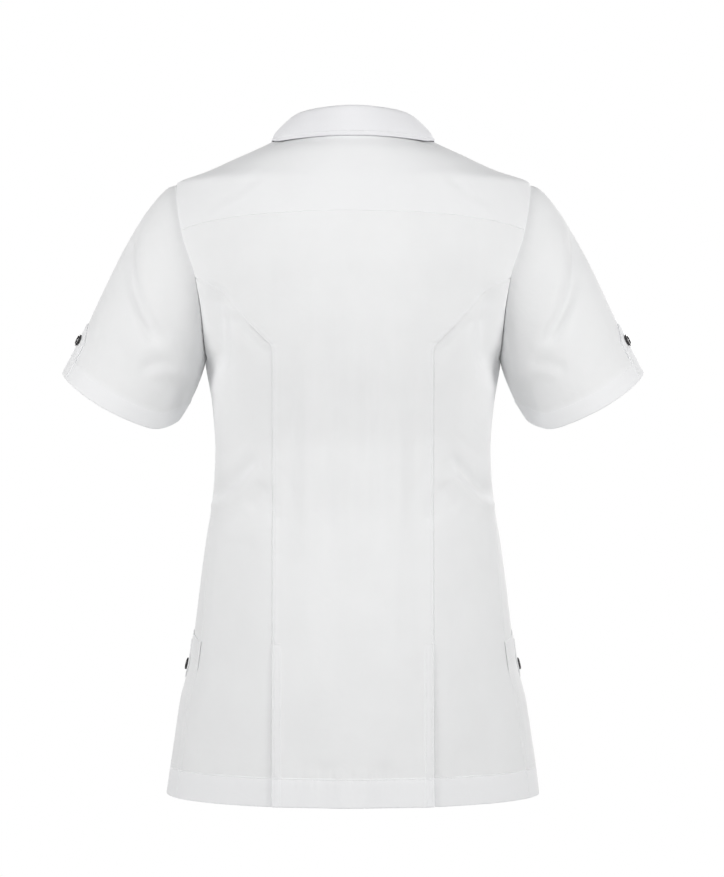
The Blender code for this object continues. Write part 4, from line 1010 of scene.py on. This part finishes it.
def make_front(word, side, under):
    """From the princess seam past the centre line. The left one lies under the right one there."""
    seam = shares_of(FRONT_BEND, (), ())
    hole_share = shares_of(0.068, (), ())
    top_share = shares_of(0.085, (), (EDGE_STITCH,))
    low = skirt(WAIST_TOP)
    rise = WAIST_TOP + (FRONT_CORNER - WAIST_TOP) * seam[1:]
    hole = armhole_heights(FRONT_CORNER, FRONT_YOKE_END, hole_share, True)[1:]
    yoke_angle = float(armhole_angle(np.array(FRONT_YOKE_END), True))
    shoulder = FRONT_YOKE_END + (float(neck_height(yoke_angle)) - FRONT_YOKE_END) * top_share[1:]
    outer = np.concatenate((edge(front_princess_angle(low), low), edge(front_princess_angle(rise), rise),
                            edge(armhole_angle(hole, True), hole), edge(yoke_angle, shoulder)))
    higher = np.linspace(WAIST_TOP, NECK_FRONT, len(outer) - len(low) + 1)[1:]
    centre = np.concatenate((low, higher))
    width, _, power = ring_sizes(centre, True)
    inner = edge(math.pi + np.arcsin((LAP / width) ** (power / 2)), centre)
    inner[-1, 1] = float(neck_height(inner[-1, 0]))

    def neck_curve(share):
        angle = (1 - share) * inner[-1, 0] + share * outer[-1, 0]
        return neck_height(angle) - ((1 - share) * inner[-1, 1] + share * outer[-1, 1])

    angle, height = laid_out(inner, outer, (EDGE_STITCH,), (EDGE_STITCH,), neck_curve, len(low))
    across = bare_body(angle, height)[..., 0]
    out = UNDER_LAP * soft_step((0.034 - across) / 0.016) if under else 0.0
    if side < 0:
        angle = -angle
    surface = Surface(*body_at(angle, height, out))
    up = surface.low
    outer_side = surface.right
    relief = (turned_edge(surface.left) + turned_edge(outer_side) + turned_edge(surface.high)
              + layers(outer_side, 0.0085) + stitch_groove(outer_side - EDGE_STITCH)
              + pucker(up, outer_side - EDGE_STITCH, 0.3) + hem_band(up, HEM_BAND, 2.6 + side, surface.left))
    surface.moved(relief)
    thick = CLOTH + layers(up, HEM_BAND, 2 * TURNED) + layers(outer_side, 0.0085)
    shell(f"front_{word}_cloth", surface.points, surface.facing, thick, surface.left, up, BODY_CLOTH,
          [f"front_{word}"])
    topstitch(topstitching["fronts"], surface, "low", HEM_BAND - HEM_STITCH)
    topstitch(topstitching["fronts"], surface, "right", EDGE_STITCH)


def make_button_band():
    """The right front's edge, folded back and stitched down both sides, with upright buttonholes."""
    low = skirt(WAIST_TOP)
    higher = WAIST_TOP + (NECK_FRONT - WAIST_TOP) * shares_of(0.16, (), (EDGE_STITCH,))[1:]
    centre = np.concatenate((low, higher))
    width, _, power = ring_sizes(centre, True)
    turn = np.arcsin((BAND_HALF / width) ** (power / 2))
    share = 2 * shares_of(2 * BAND_HALF, (EDGE_STITCH,), (EDGE_STITCH,), 0.0025) - 1
    angle = math.pi - turn[:, None] * share
    surface = Surface(*body_at(angle, centre[:, None] * np.ones_like(angle), ON_PANEL))
    side = np.minimum(surface.left, surface.right)
    surface.moved(turned_edge(side, 0.0006) + stitch_groove(side - EDGE_STITCH)
                  + turned_edge(surface.low, 0.0005) + pucker(surface.low, side - EDGE_STITCH, 0.9))
    shell("button_band_cloth", surface.points, surface.facing, 0.0010, surface.left, surface.low, BODY_CLOTH,
          ["button_band"])
    for direction in ("left", "right"):
        topstitch(topstitching["fronts"], surface, direction, EDGE_STITCH)


def yoke_seam(share):
    """The back yoke seam, from the centre to the armhole."""
    end = float(armhole_angle(np.array(YOKE_END), False))
    return edge(share * end, YOKE_CENTRE + (YOKE_END - YOKE_CENTRE) * share ** 2)


def make_yoke():
    """Two layers over the shoulders, topstitched along the back and front yoke seams."""
    rise = armhole_heights(YOKE_END, SHOULDER_TIP, shares_of(0.072, (), ()), False)[1:]
    fall = armhole_heights(FRONT_YOKE_END, SHOULDER_TIP, shares_of(0.045, (EDGE_STITCH,), ()), True)[::-1][1:]
    lower = np.concatenate((yoke_seam(shares_of(0.17, (), ())), edge(armhole_angle(rise, False), rise),
                            edge(armhole_angle(fall, True), fall)))
    upper = edge(lower[:, 0], neck_height(lower[:, 0]))
    share = shares_of(0.105, (EDGE_STITCH, 0.0072), (EDGE_STITCH,))[:, None, None]
    grid = (1 - share) * lower[None] + share * upper[None]
    angle, height = mirrored(grid[..., 0], grid[..., 1])
    surface = Surface(*body_at(angle, height))
    front_edge = np.minimum(surface.left, surface.right)
    back = soft_step((YOKE_END + 0.004 - height[:1]) / 0.004)      # the back seam, without the armholes
    dip = (np.exp(-((height + 0.0010) / 0.0085) ** 2) * soft_step(surface.high / 0.006)
           * soft_step(surface.points[..., 1] / 0.03))
    below_stitches = surface.low - EDGE_STITCH
    relief = (turned_edge(surface.low) + turned_edge(front_edge) + 0.0002 - 0.0042 * dip
              + back * (stitch_groove(below_stitches) + pucker(surface.left, below_stitches, 1.4))
              + stitch_groove(front_edge - EDGE_STITCH) + pucker(surface.low, front_edge - EDGE_STITCH, 0.2))
    surface.moved(relief)
    shell("yoke_cloth", surface.points, surface.facing, 0.0009, surface.left, surface.low, BODY_CLOTH,
          ["yoke"])
    thread = topstitching["body"]
    points, facing = line(surface, "low", EDGE_STITCH)
    along_seam = back[0] > 0.5
    thread.row(points[along_seam], facing[along_seam])
    for direction in ("left", "right"):
        topstitch(thread, surface, direction, EDGE_STITCH, 2)


# ---------------------------------------------------------------- collar

def neck_ring(angle):
    """The neck seam, and the level way outwards from it."""
    seam = bare_body(angle, neck_height(angle))
    turn = 0.03
    along = (bare_body(angle + turn, neck_height(angle + turn))
             - bare_body(angle - turn, neck_height(angle - turn)))
    level = np.stack((-along[..., 1], along[..., 0], np.zeros_like(angle)), axis=-1)
    return seam, unit(np.where(np.sum(level * seam, axis=-1, keepdims=True) < 0, -level, level))


def stand_top(angle):
    """Where the collar folds over: one even line, as interlining makes it run, except near its front ends."""
    evened, total = 0.0, 0.0
    reach = np.radians(5.0) * soft_step((math.radians(168) - np.abs(angle)) / math.radians(30))
    for step in range(-4, 5):
        turn = angle + reach * step
        seam, away = neck_ring(turn)
        rise = smooth(STAND["angle"], STAND["rise"], np.degrees(np.abs(turn)))
        lean = smooth(STAND["angle"], STAND["lean"], np.degrees(np.abs(turn)))
        up = np.stack((np.zeros_like(rise), np.zeros_like(rise), rise), axis=-1)
        evened = evened + (5 - abs(step)) * (seam + up - away * lean[..., None])
        total += 5 - abs(step)
    return evened / total


def grid_facing(points, guide):
    """The way a grid of points faces, on the side that a guide names."""
    facing = unit(np.cross(np.gradient(points, axis=1), np.gradient(points, axis=0)))
    flip = np.sign(np.sum(facing * guide, axis=-1, keepdims=True))
    return facing * np.where(flip == 0, 1, flip)


def make_collar_stand():
    """An interlined band that stands on the neck seam, its right end over its left."""
    lap = math.radians(4.5)
    angle = np.linspace(-math.pi - lap, math.pi + lap, 221)
    folded = np.where(np.abs(angle) > math.pi, 2 * math.pi - np.abs(angle), np.abs(angle))
    seen = np.where(np.abs(angle) > math.pi, -np.sign(angle) * folded, angle)
    seam, away = neck_ring(seen)
    top = stand_top(seen)
    spread = soft_step((np.abs(angle) - math.radians(150)) / math.radians(24)) * np.sign(-angle) * STAND_LAP
    share = shares_of(0.020, (STAND_STITCH,), (STAND_STITCH,), 0.002)[:, None, None]
    rows = seam + (top - seam) * share + (away * spread[:, None])[None]
    rows[..., 2] += 0.0004 * (1 - share[..., 0])
    surface = Surface(rows, grid_facing(rows, np.broadcast_to(away, rows.shape)))
    rim = np.minimum(surface.left, surface.right)
    surface.moved(-0.0002 + turned_edge(np.minimum(surface.low, surface.high), 0.0005)
                  + turned_edge(rim, 0.0004) + stitch_groove(surface.high - STAND_STITCH, 0.0002)
                  + stitch_groove(surface.low - STAND_STITCH, 0.0002))
    shell("collar_stand_cloth", surface.points, surface.facing, 0.0011, surface.left, surface.low,
          COLLAR_CLOTH, ["collar_stand"])
    points, facing = line(surface, "low", STAND_STITCH)
    topstitching["collar"].row(points[1:-1], facing[1:-1], FINE_STITCH, FINE_LENGTH)


def fall_edge(angle):
    turn = np.degrees(angle)
    across = smooth(FALL_EDGE["angle"], FALL_EDGE["across"], turn)
    height = smooth(FALL_EDGE["angle"], FALL_EDGE["height"], turn)
    stand_off = smooth(FALL_EDGE["angle"], FALL_EDGE["stand_off"], turn)
    points = []
    for a, x, z, off in zip(angle, across, height, stand_off):
        where = float(angle_across(np.array(x), np.array(z), bool(a > math.pi / 2)))
        points.append(body_at(where, z, off)[0])
    return np.array(points)


def make_collar_fall():
    """Folded over the stand's top edge and down onto the yoke and the fronts, topstitched along its edge."""
    half = np.linspace(0, math.radians(FALL_END), 131)
    _, away = neck_ring(half)
    top, low = stand_top(half), fall_edge(half)
    up = np.array((0.0, 0.0, 1.0))
    steep = soft_step((half - math.radians(95)) / math.radians(30))[:, None]
    clear = COLLAR_WALL + SEAM_GAP * 2 + 0.0016 * steep
    start = top + up * clear * 0.2 + away * (0.0046 + 0.001 * steep)
    bones = [top + up * clear - away * 0.0012, top + up * clear + away * 0.0016, start]
    for share in (0.25, 0.5, 0.75, 1.0):
        bones.append(start + (low - start) * share + away * 4 * share * (1 - share) * 0.0022)
    bones = np.array(bones)
    place = run_length(bones[:, 0])
    place = place / place[-1]
    where = shares_of(0.034, (), (COLLAR_STITCH,), 0.0016)
    columns = [[smooth(place, bones[:, c, axis], where) for c in range(len(half))] for axis in range(3)]
    rows = np.stack(columns, axis=-1).transpose(1, 0, 2)
    rows = np.concatenate((rows[:, :0:-1] * (-1, 1, 1), rows), axis=1)
    surface = Surface(rows, grid_facing(rows, rows * (1, 1, 0) + np.array((0, 0, 0.03))))
    edge_way, ends = surface.high, np.minimum(surface.left, surface.right)
    surface.moved(turned_edge(edge_way, 0.0005) + turned_edge(ends, 0.0006)
                  + stitch_groove(edge_way - COLLAR_STITCH, 0.0005, 0.0007)
                  + stitch_groove(ends - COLLAR_STITCH, 0.0005, 0.0007)
                  + pucker(surface.left, edge_way - COLLAR_STITCH, 1.3, 0.0001))
    thick = 0.0012 - 0.0005 * np.exp(-(edge_way / 0.0015) ** 2)
    shell("collar_fall_cloth", surface.points, surface.facing, thick, surface.left, surface.low, COLLAR_CLOTH,
          ["collar_fall"])
    thread = topstitching["collar"]
    points, facing = line(surface, "high", COLLAR_STITCH)
    inside = ends[-1] > COLLAR_STITCH
    thread.row(points[inside], facing[inside], FINE_STITCH, FINE_LENGTH)
    for direction in ("left", "right"):
        column = nearest(getattr(surface, direction)[-10], COLLAR_STITCH)
        rows = slice(4, nearest(surface.high[:, column], COLLAR_STITCH) + 1)
        thread.row(surface.points[rows, column], surface.facing[rows, column], FINE_STITCH, FINE_LENGTH)


# ---------------------------------------------------------------- sleeves, tabs and pockets

def make_sleeve(word, side):
    """A tube whose upper edge is sewn in under the armhole's, with a stitched hem band at the rim."""
    girth = run_length(RIM[0])[-1]
    columns = int(girth / 0.0033)
    around = np.linspace(0, 1, columns, endpoint=False)
    length = np.linalg.norm(on_loop(RIM, around) - on_loop(ARMHOLE, around), axis=-1)
    marks = (SLEEVE_HEM_BAND - HEM_STITCH, SLEEVE_HEM_BAND)
    from_rim = (1 - shares_of(SLEEVE_RUN, marks, ())[::-1]) * SLEEVE_RUN
    share = np.empty((len(from_rim), columns))
    for c, run in enumerate(length):        # rows keep their distance from the rim round the whole hem band
        share[:, c] = 1 - np.interp(from_rim, (0, 0.03, SLEEVE_RUN), (0, 0.03 / run, 1.0))
    share = share[::-1]
    grid = np.broadcast_to(around, share.shape)
    surface = Surface(*sleeve_at(grid, share, side))
    to_rim, from_hole = surface.high, surface.low
    seam_run = surface.left
    gather = pucker(seam_run, from_hole, 2.0, 0.00022, 0.012)
    relief = hem_band(to_rim, SLEEVE_HEM_BAND, 0.5 + side, seam_run) + gather
    surface.moved(relief)
    points = surface.points
    mirror = np.array((side, 1, 1))
    inwards = unit(SLEEVE_START * mirror - points[0])
    # the first rows tuck in under the armhole's edge
    tuck = np.clip(1 - np.arange(3) / 2.0, 0, 1)[:, None, None]
    low = soft_step((-0.130 - points[0, :, 2]) / 0.040)[None, :, None]      # all of it at the underarm
    points[:3] += tuck * (inwards[None] * 0.0020 * low - SLEEVE_AXIS * mirror * (0.0007 + 0.0021 * low))
    thick = CLOTH + layers(to_rim, SLEEVE_HEM_BAND, 2 * TURNED)
    shell(f"sleeve_{word}_cloth", points, surface.facing, thick, seam_run, from_hole, BODY_CLOTH,
          [f"sleeve_{word}"], closed=True)
    row = nearest(to_rim[:, 5], SLEEVE_HEM_BAND - HEM_STITCH)
    ring = np.concatenate((surface.points[row], surface.points[row, :1]))
    topstitching["sleeves"].row(ring, np.concatenate((surface.facing[row], surface.facing[row, :1])))


def pointed_strip(shares):
    """Width of a strip with a pointed end at each share of its length, as a share of its full width."""
    return np.where(shares < POINT_FROM, 1.0, 1.0 - 0.9 * (shares - POINT_FROM) / (1 - POINT_FROM))


def strip_lines(surface, inset, width, length):
    """Two rows of stitches, an inset from the long edges of a pointed strip and from its point."""
    shares = surface.low[:, surface.low.shape[1] // 2] / length
    half = np.maximum(width / 2 * pointed_strip(shares) - inset, 0.0)
    keep = (surface.high[:, surface.high.shape[1] // 2] > inset * 1.6)
    found = []
    for way in (-1, 1):
        points, facing = [], []
        for r in np.flatnonzero(keep):
            run = surface.left[r]
            place = run[-1] / 2 + way * half[r]
            points.append([np.interp(place, run, surface.points[r, :, axis]) for axis in range(3)])
            facing.append([np.interp(place, run, surface.facing[r, :, axis]) for axis in range(3)])
        found.append((np.array(points), np.array(facing)))
    return found


def finish_tab(name, surface, width, length, nodes, thread):
    """A double tab: turned and topstitched twice round."""
    side = np.minimum(surface.left, surface.right)
    outer, inner = TAB_STITCHES
    surface.moved(turned_edge(side, 0.0005) + turned_edge(surface.high, 0.0005)
                  + stitch_groove(side - outer, 0.0003) + stitch_groove(side - inner, 0.0002))
    shell(name, surface.points, surface.facing, 0.0011, surface.left, surface.low, BODY_CLOTH, nodes)
    for inset in TAB_STITCHES:
        for points, facing in strip_lines(surface, inset, width, length):
            thread.row(points, facing, 0.0028, 0.0023)


def make_sleeve_tab(word, side):
    """A pointed tab up the sleeve's outer side from the rim, buttoned near its end."""
    girth = run_length(RIM[0])[-1]
    outer_line = run_length(bare_sleeve(np.zeros(60), np.linspace(0, 1, 60)))[-1]
    centre = SLEEVE_TAB_BEHIND / girth
    shares = shares_of(SLEEVE_TAB_LENGTH, (), TAB_STITCHES[:1], TAB_CELL)
    half = TAB_WIDTH / 2 / girth * pointed_strip(shares)
    along = TAB_START - shares * SLEEVE_TAB_LENGTH / outer_line
    across = 2 * shares_of(TAB_WIDTH, TAB_STITCHES, TAB_STITCHES, TAB_CELL) - 1
    around = centre + half[:, None] * across
    surface = Surface(*sleeve_at(around, along[:, None] * np.ones_like(around), side, TAB_FACE))
    finish_tab(f"sleeve_tab_{word}_cloth", surface, TAB_WIDTH, SLEEVE_TAB_LENGTH, [f"sleeve_tab_{word}"],
               topstitching["sleeves"])
    place = TAB_START - BUTTON_PLACE * SLEEVE_TAB_LENGTH / outer_line
    seat, facing = sleeve_at(centre, place, side, TAB_FACE)
    make_button(f"resin_button_sleeve_{word}", seat, facing, SLEEVE_AXIS * (side, 1, 1),
                f"button_sleeve_{word}", topstitching["sleeves"])


def arc_angle(start, height, distance):
    """The angle that lies a distance round the body from a starting angle."""
    turns = start + np.linspace(0, 1.4, 200)
    return np.interp(distance, run_length(bare_body(turns, height)), turns)


def make_pocket(word, side):
    """A patch on the hip with a slanted, hemmed opening."""
    reach = shares_of(0.16, (EDGE_STITCH, SECOND_STITCH), (EDGE_STITCH, SECOND_STITCH)) * POCKET_REACH
    rise = shares_of(0.155, (EDGE_STITCH,), (POCKET_HEM_STITCH, POCKET_HEM))[:, None]
    top = POCKET_SIDE_TOP + (POCKET_FRONT_TOP - POCKET_SIDE_TOP) * reach
    height = POCKET_BOTTOM + (top - POCKET_BOTTOM) * rise
    side_angle, seam_angle = side_seam_angle(height), front_princess_angle(height)
    angle = side_angle + (seam_angle - side_angle) * reach
    if side < 0:
        angle = -angle
    surface = Surface(*body_at(angle, height, POCKET_FACE))
    rim = np.minimum(np.minimum(surface.left, surface.right), surface.low)
    hem_stitches = surface.high - POCKET_HEM_STITCH
    flattened = np.exp(-(surface.left / 0.006) ** 2) * soft_step((-0.565 - height) / 0.012)
    surface.moved(turned_edge(np.minimum(rim, surface.high), 0.0006) + stitch_groove(rim - EDGE_STITCH)
                  + stitch_groove(rim - SECOND_STITCH, 0.0002) + layers(surface.high, POCKET_HEM, 0.0005)
                  + stitch_groove(hem_stitches) + pucker(surface.left, hem_stitches, 0.8)
                  + pucker(surface.low, surface.left - EDGE_STITCH, 1.7) - 0.0007 * flattened)
    shell(f"pocket_{word}_cloth", surface.points, surface.facing, 0.0006, surface.left, surface.low,
          BODY_CLOTH, [f"pocket_{word}"])
    thread = topstitching["fronts"]
    for inset in (EDGE_STITCH, SECOND_STITCH):
        for direction in ("left", "right", "low"):
            topstitch(thread, surface, direction, inset)
    topstitch(thread, surface, "high", POCKET_HEM_STITCH)


def make_pocket_tab(word, side):
    """A short pointed tab that hangs on the pocket beside the side seam, buttoned near its end."""
    shares = shares_of(POCKET_TAB_LENGTH, (), TAB_STITCHES[:1], TAB_CELL)
    top = POCKET_SIDE_TOP - 0.0005
    height = top - shares * POCKET_TAB_LENGTH
    half = TAB_WIDTH / 2 * pointed_strip(shares)
    across = 2 * shares_of(TAB_WIDTH, TAB_STITCHES, TAB_STITCHES, TAB_CELL) - 1
    start = POCKET_TAB_TURN - 0.3
    angle = np.zeros((len(shares), len(across)))
    for r, z in enumerate(height):
        middle_run = run_length(bare_body(np.linspace(start, POCKET_TAB_TURN, 80), z))[-1]
        angle[r] = arc_angle(start, z, middle_run + across * half[r])
    if side < 0:
        angle = -angle
    lift = ON_PANEL + TAB_FACE
    surface = Surface(*body_at(angle, height[:, None] * np.ones_like(angle), lift))
    finish_tab(f"pocket_tab_{word}_cloth", surface, TAB_WIDTH, POCKET_TAB_LENGTH, [f"pocket_tab_{word}"],
               topstitching["fronts"])
    seat, facing = body_at(side * POCKET_TAB_TURN, top - BUTTON_PLACE * POCKET_TAB_LENGTH, lift)
    make_button(f"resin_button_pocket_{word}", seat, facing, np.array((0.0, 0.0, 1.0)),
                f"button_pocket_{word}", topstitching["fronts"])


# ---------------------------------------------------------------- buttons

BUTTON_GAP = 0.0003          # between a button's back and the cloth
HOLE_OFF = 0.00125           # from a button's middle to its holes, in each direction
HOLE_RADIUS = 0.00072


def drilled_button():
    """A turned button of 13 mm with a rounded rim, a dished middle and four drilled holes."""
    # radius and height in millimetres, from the middle of the face over the rim to the middle of the back
    profile = ((0.0, 1.35), (2.6, 1.35), (3.9, 1.45), (4.6, 1.95), (5.1, 2.35), (5.7, 2.45), (6.2, 2.2),
               (6.5, 1.6), (6.4, 0.9), (5.8, 0.35), (4.6, 0.05), (2.5, 0.0), (0.0, 0.0))
    steps = 48
    shape = bmesh.new()
    ring_of = []
    for radius, height in profile:
        if radius == 0:
            ring_of.append([shape.verts.new((0, 0, height / 1000))])
            continue
        ring = []
        for k in range(steps):
            turn = 2 * math.pi * k / steps
            place = (radius / 1000 * math.cos(turn), radius / 1000 * math.sin(turn), height / 1000)
            ring.append(shape.verts.new(place))
        ring_of.append(ring)
    for upper, lower in zip(ring_of[:-1], ring_of[1:]):
        for k in range(steps):
            corners = [upper[k % len(upper)], lower[k % len(lower)], lower[(k + 1) % len(lower)],
                       upper[(k + 1) % len(upper)]]
            shape.faces.new(list(dict.fromkeys(corners)))
    bmesh.ops.recalc_face_normals(shape, faces=shape.faces)
    mesh = bpy.data.meshes.new("drilled button")
    shape.to_mesh(mesh)
    shape.free()
    blank = bpy.data.objects.new("button blank", mesh)
    bpy.context.scene.collection.objects.link(blank)
    drill = bmesh.new()
    for sx in (-1, 1):
        for sy in (-1, 1):
            place = Matrix.Translation((sx * HOLE_OFF, sy * HOLE_OFF, 0.0008))
            bmesh.ops.create_cone(drill, cap_ends=True, segments=20, radius1=HOLE_RADIUS,
                                  radius2=HOLE_RADIUS, depth=0.006, matrix=place)
    drills = bpy.data.meshes.new("drills")
    drill.to_mesh(drills)
    drill.free()
    cutter = bpy.data.objects.new("drills", drills)
    bpy.context.scene.collection.objects.link(cutter)
    cut = blank.modifiers.new("drilled", "BOOLEAN")
    cut.operation, cut.object, cut.solver = "DIFFERENCE", cutter, "EXACT"
    bpy.context.view_layer.update()
    done = bpy.data.meshes.new_from_object(blank.evaluated_get(bpy.context.evaluated_depsgraph_get()))
    bpy.data.objects.remove(blank)
    bpy.data.objects.remove(cutter)
    done.name = "drilled button"
    done.shade_smooth()
    done.materials.clear()
    done.materials.append(BUTTON_FINISH)
    return done


BUTTON_MESH = drilled_button()


def make_button(name, seat, facing, up, node, thread):
    """A button on its seat, its holes square to the buttonhole, with two bars of thread through them."""
    seat, facing = Vector(np.asarray(seat).ravel()), Vector(np.asarray(facing).ravel()).normalized()
    up = Vector(np.asarray(up).ravel())
    up = (up - up.dot(facing) * facing).normalized()
    across = up.cross(facing)
    frame_of = Matrix((across, up, facing)).transposed().to_4x4()
    piece = bpy.data.objects.new(name, BUTTON_MESH)
    bpy.context.scene.collection.objects.link(piece)
    piece.matrix_world = Matrix.Translation(seat + facing * BUTTON_GAP) @ frame_of
    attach(piece, "root")
    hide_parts(node)
    level = seat + facing * 0.00185
    middles, ways = [], []
    for side in (-1, 1):
        for k in (-1, 0, 1):
            middles.append(level + across * (side * HOLE_OFF + k * THREAD))
            ways.append(up)
    thread.stitches(np.array(middles), np.array(ways), np.array([facing] * 6), 0.0034, 0.0002)
    # the buttonhole under it: close stitches round a slit that runs up and down
    half, width = 0.0078, 0.0009
    outline = []
    for turn in np.linspace(0, 2 * math.pi, 60):
        rise = math.copysign(min(abs(math.cos(turn)) * 1.35, 1), math.cos(turn))
        aside = math.copysign(min(abs(math.sin(turn)) * 1.6, 1), math.sin(turn))
        outline.append(seat + up * (half * rise) + across * (width * aside))
    outline = np.array(outline) + np.array(facing) * 0.0001
    thread.across(outline, np.broadcast_to(np.array(facing), outline.shape), 0.0014, 0.0005)


def make_front_buttons():
    """One on the collar stand and six down the band."""
    turn = np.array((math.pi,))
    top = stand_top(turn)[0]
    seam, away = neck_ring(turn)
    seat = (top + seam[0]) / 2 + away[0] * STAND_LAP
    rise = unit(top - seam[0])
    facing = np.cross(rise, (-1.0, 0.0, 0.0))
    facing = facing if facing[1] < 0 else -facing
    make_button("resin_button_front_1", seat, facing, np.array((1.0, 0.0, 0.0)), "button_front_1",
                topstitching["collar"])
    for number, height in enumerate(FRONT_BUTTONS, start=2):
        seat, facing = body_at(math.pi, height, ON_PANEL + BUTTON_GAP)
        make_button(f"resin_button_front_{number}", seat, facing, np.array((0.0, 0.0, 1.0)),
                    f"button_front_{number}", topstitching["fronts"])


# ---------------------------------------------------------------- the studio

def make_studio():
    """A pale floor well below the tunic, broad soft lights on both sides, and the photograph's camera."""
    disc = bmesh.new()
    bmesh.ops.create_circle(disc, cap_ends=True, segments=96, radius=1.8)
    mesh = bpy.data.meshes.new("floor")
    disc.to_mesh(mesh)
    disc.free()
    mesh.materials.append(studio_floor())
    floor = bpy.data.objects.new("floor", mesh)
    floor.location = (0, 0, HEM - 0.80)
    bpy.context.scene.collection.objects.link(floor)

    world = bpy.data.worlds.new("white studio")
    bpy.context.scene.world = world
    world.use_nodes = True
    tree = world.node_tree
    tree.nodes.clear()
    seen = add_node(tree, "ShaderNodeBackground", {"Color": (1, 1, 1, 1), "Strength": 1.0})
    place = add_node(tree, "ShaderNodeTexCoord").outputs["Generated"]
    height = add_node(tree, "ShaderNodeSeparateXYZ", {}, {0: place}).outputs[2]
    fill = add_node(tree, "ShaderNodeMapRange", {1: -0.5, 2: 0.6, 3: 0.15, 4: 0.22}, {0: height})
    light = add_node(tree, "ShaderNodeBackground", {"Color": (0.98, 0.99, 1.0, 1)},
                     {"Strength": fill.outputs[0]})
    ray = add_node(tree, "ShaderNodeLightPath")
    mix = add_node(tree, "ShaderNodeMixShader", {}, {0: ray.outputs["Is Camera Ray"], 1: light.outputs[0],
                                                     2: seen.outputs[0]})
    add_node(tree, "ShaderNodeOutputWorld", {}, {"Surface": mix.outputs[0]})

    # name, where from, size in metres and power in watts
    lamps = (
        ("softbox_camera_left", (0.95, 2.2, 0.15), 0.9, 4.7),
        ("softbox_camera_right", (-0.95, 2.2, 0.15), 0.9, 4.7),
        ("softbox_back", (0.0, 1.9, 0.95), 1.0, 2.9),
        ("softbox_side_left", (2.1, 1.2, 0.4), 1.2, 22.5),
        ("softbox_side_right", (-2.1, 1.2, 0.4), 1.2, 22.5),
        ("softbox_front_left", (1.1, -2.6, 0.35), 1.3, 24.0),
        ("softbox_front_right", (-1.3, -2.5, 0.35), 1.3, 28.0),
    )
    for name, place, size, power in lamps:
        lamp = bpy.data.lights.new(name, "AREA")
        lamp.shape, lamp.size, lamp.energy, lamp.color = "SQUARE", size, power, LAMP_TONE
        lamp.spread = LAMP_SPREAD
        box = bpy.data.objects.new(name, lamp)
        box.location = place
        box.rotation_euler = (Vector(LAMP_AIM) - Vector(place)).to_track_quat("-Z", "Y").to_euler()
        bpy.context.scene.collection.objects.link(box)

    lens = bpy.data.cameras.new("photograph")
    sensor = 36.0
    lens.sensor_width = sensor
    lens.lens = sensor * CAMERA_AWAY / (FRAME_HEIGHT * PIXEL)
    lens.shift_x = (FRAME_WIDTH / 2 - MIDDLE_COLUMN) / FRAME_HEIGHT
    lens.dof.use_dof = False
    camera = bpy.data.objects.new("photograph", lens)
    camera.location = (0, CAMERA_AWAY, CAMERA_HEIGHT)
    camera.rotation_euler = (math.pi / 2, 0, math.pi)
    bpy.context.scene.collection.objects.link(camera)
    bpy.context.scene.camera = camera
    bpy.context.scene.view_settings.view_transform = "Standard"


make_yoke()
make_back_centre()
make_button_band()
make_collar_stand()
make_collar_fall()
for word, side in (("left", 1), ("right", -1)):
    make_back_side(word, side)
    make_front(word, side, under=side > 0)
    make_front_side(word, side)
    make_sleeve(word, side)
    make_sleeve_tab(word, side)
    make_pocket(word, side)
    make_pocket_tab(word, side)
make_front_buttons()
for place, thread in topstitching.items():
    thread.piece(f"topstitching_{place}", THREAD_FINISH)
make_studio()
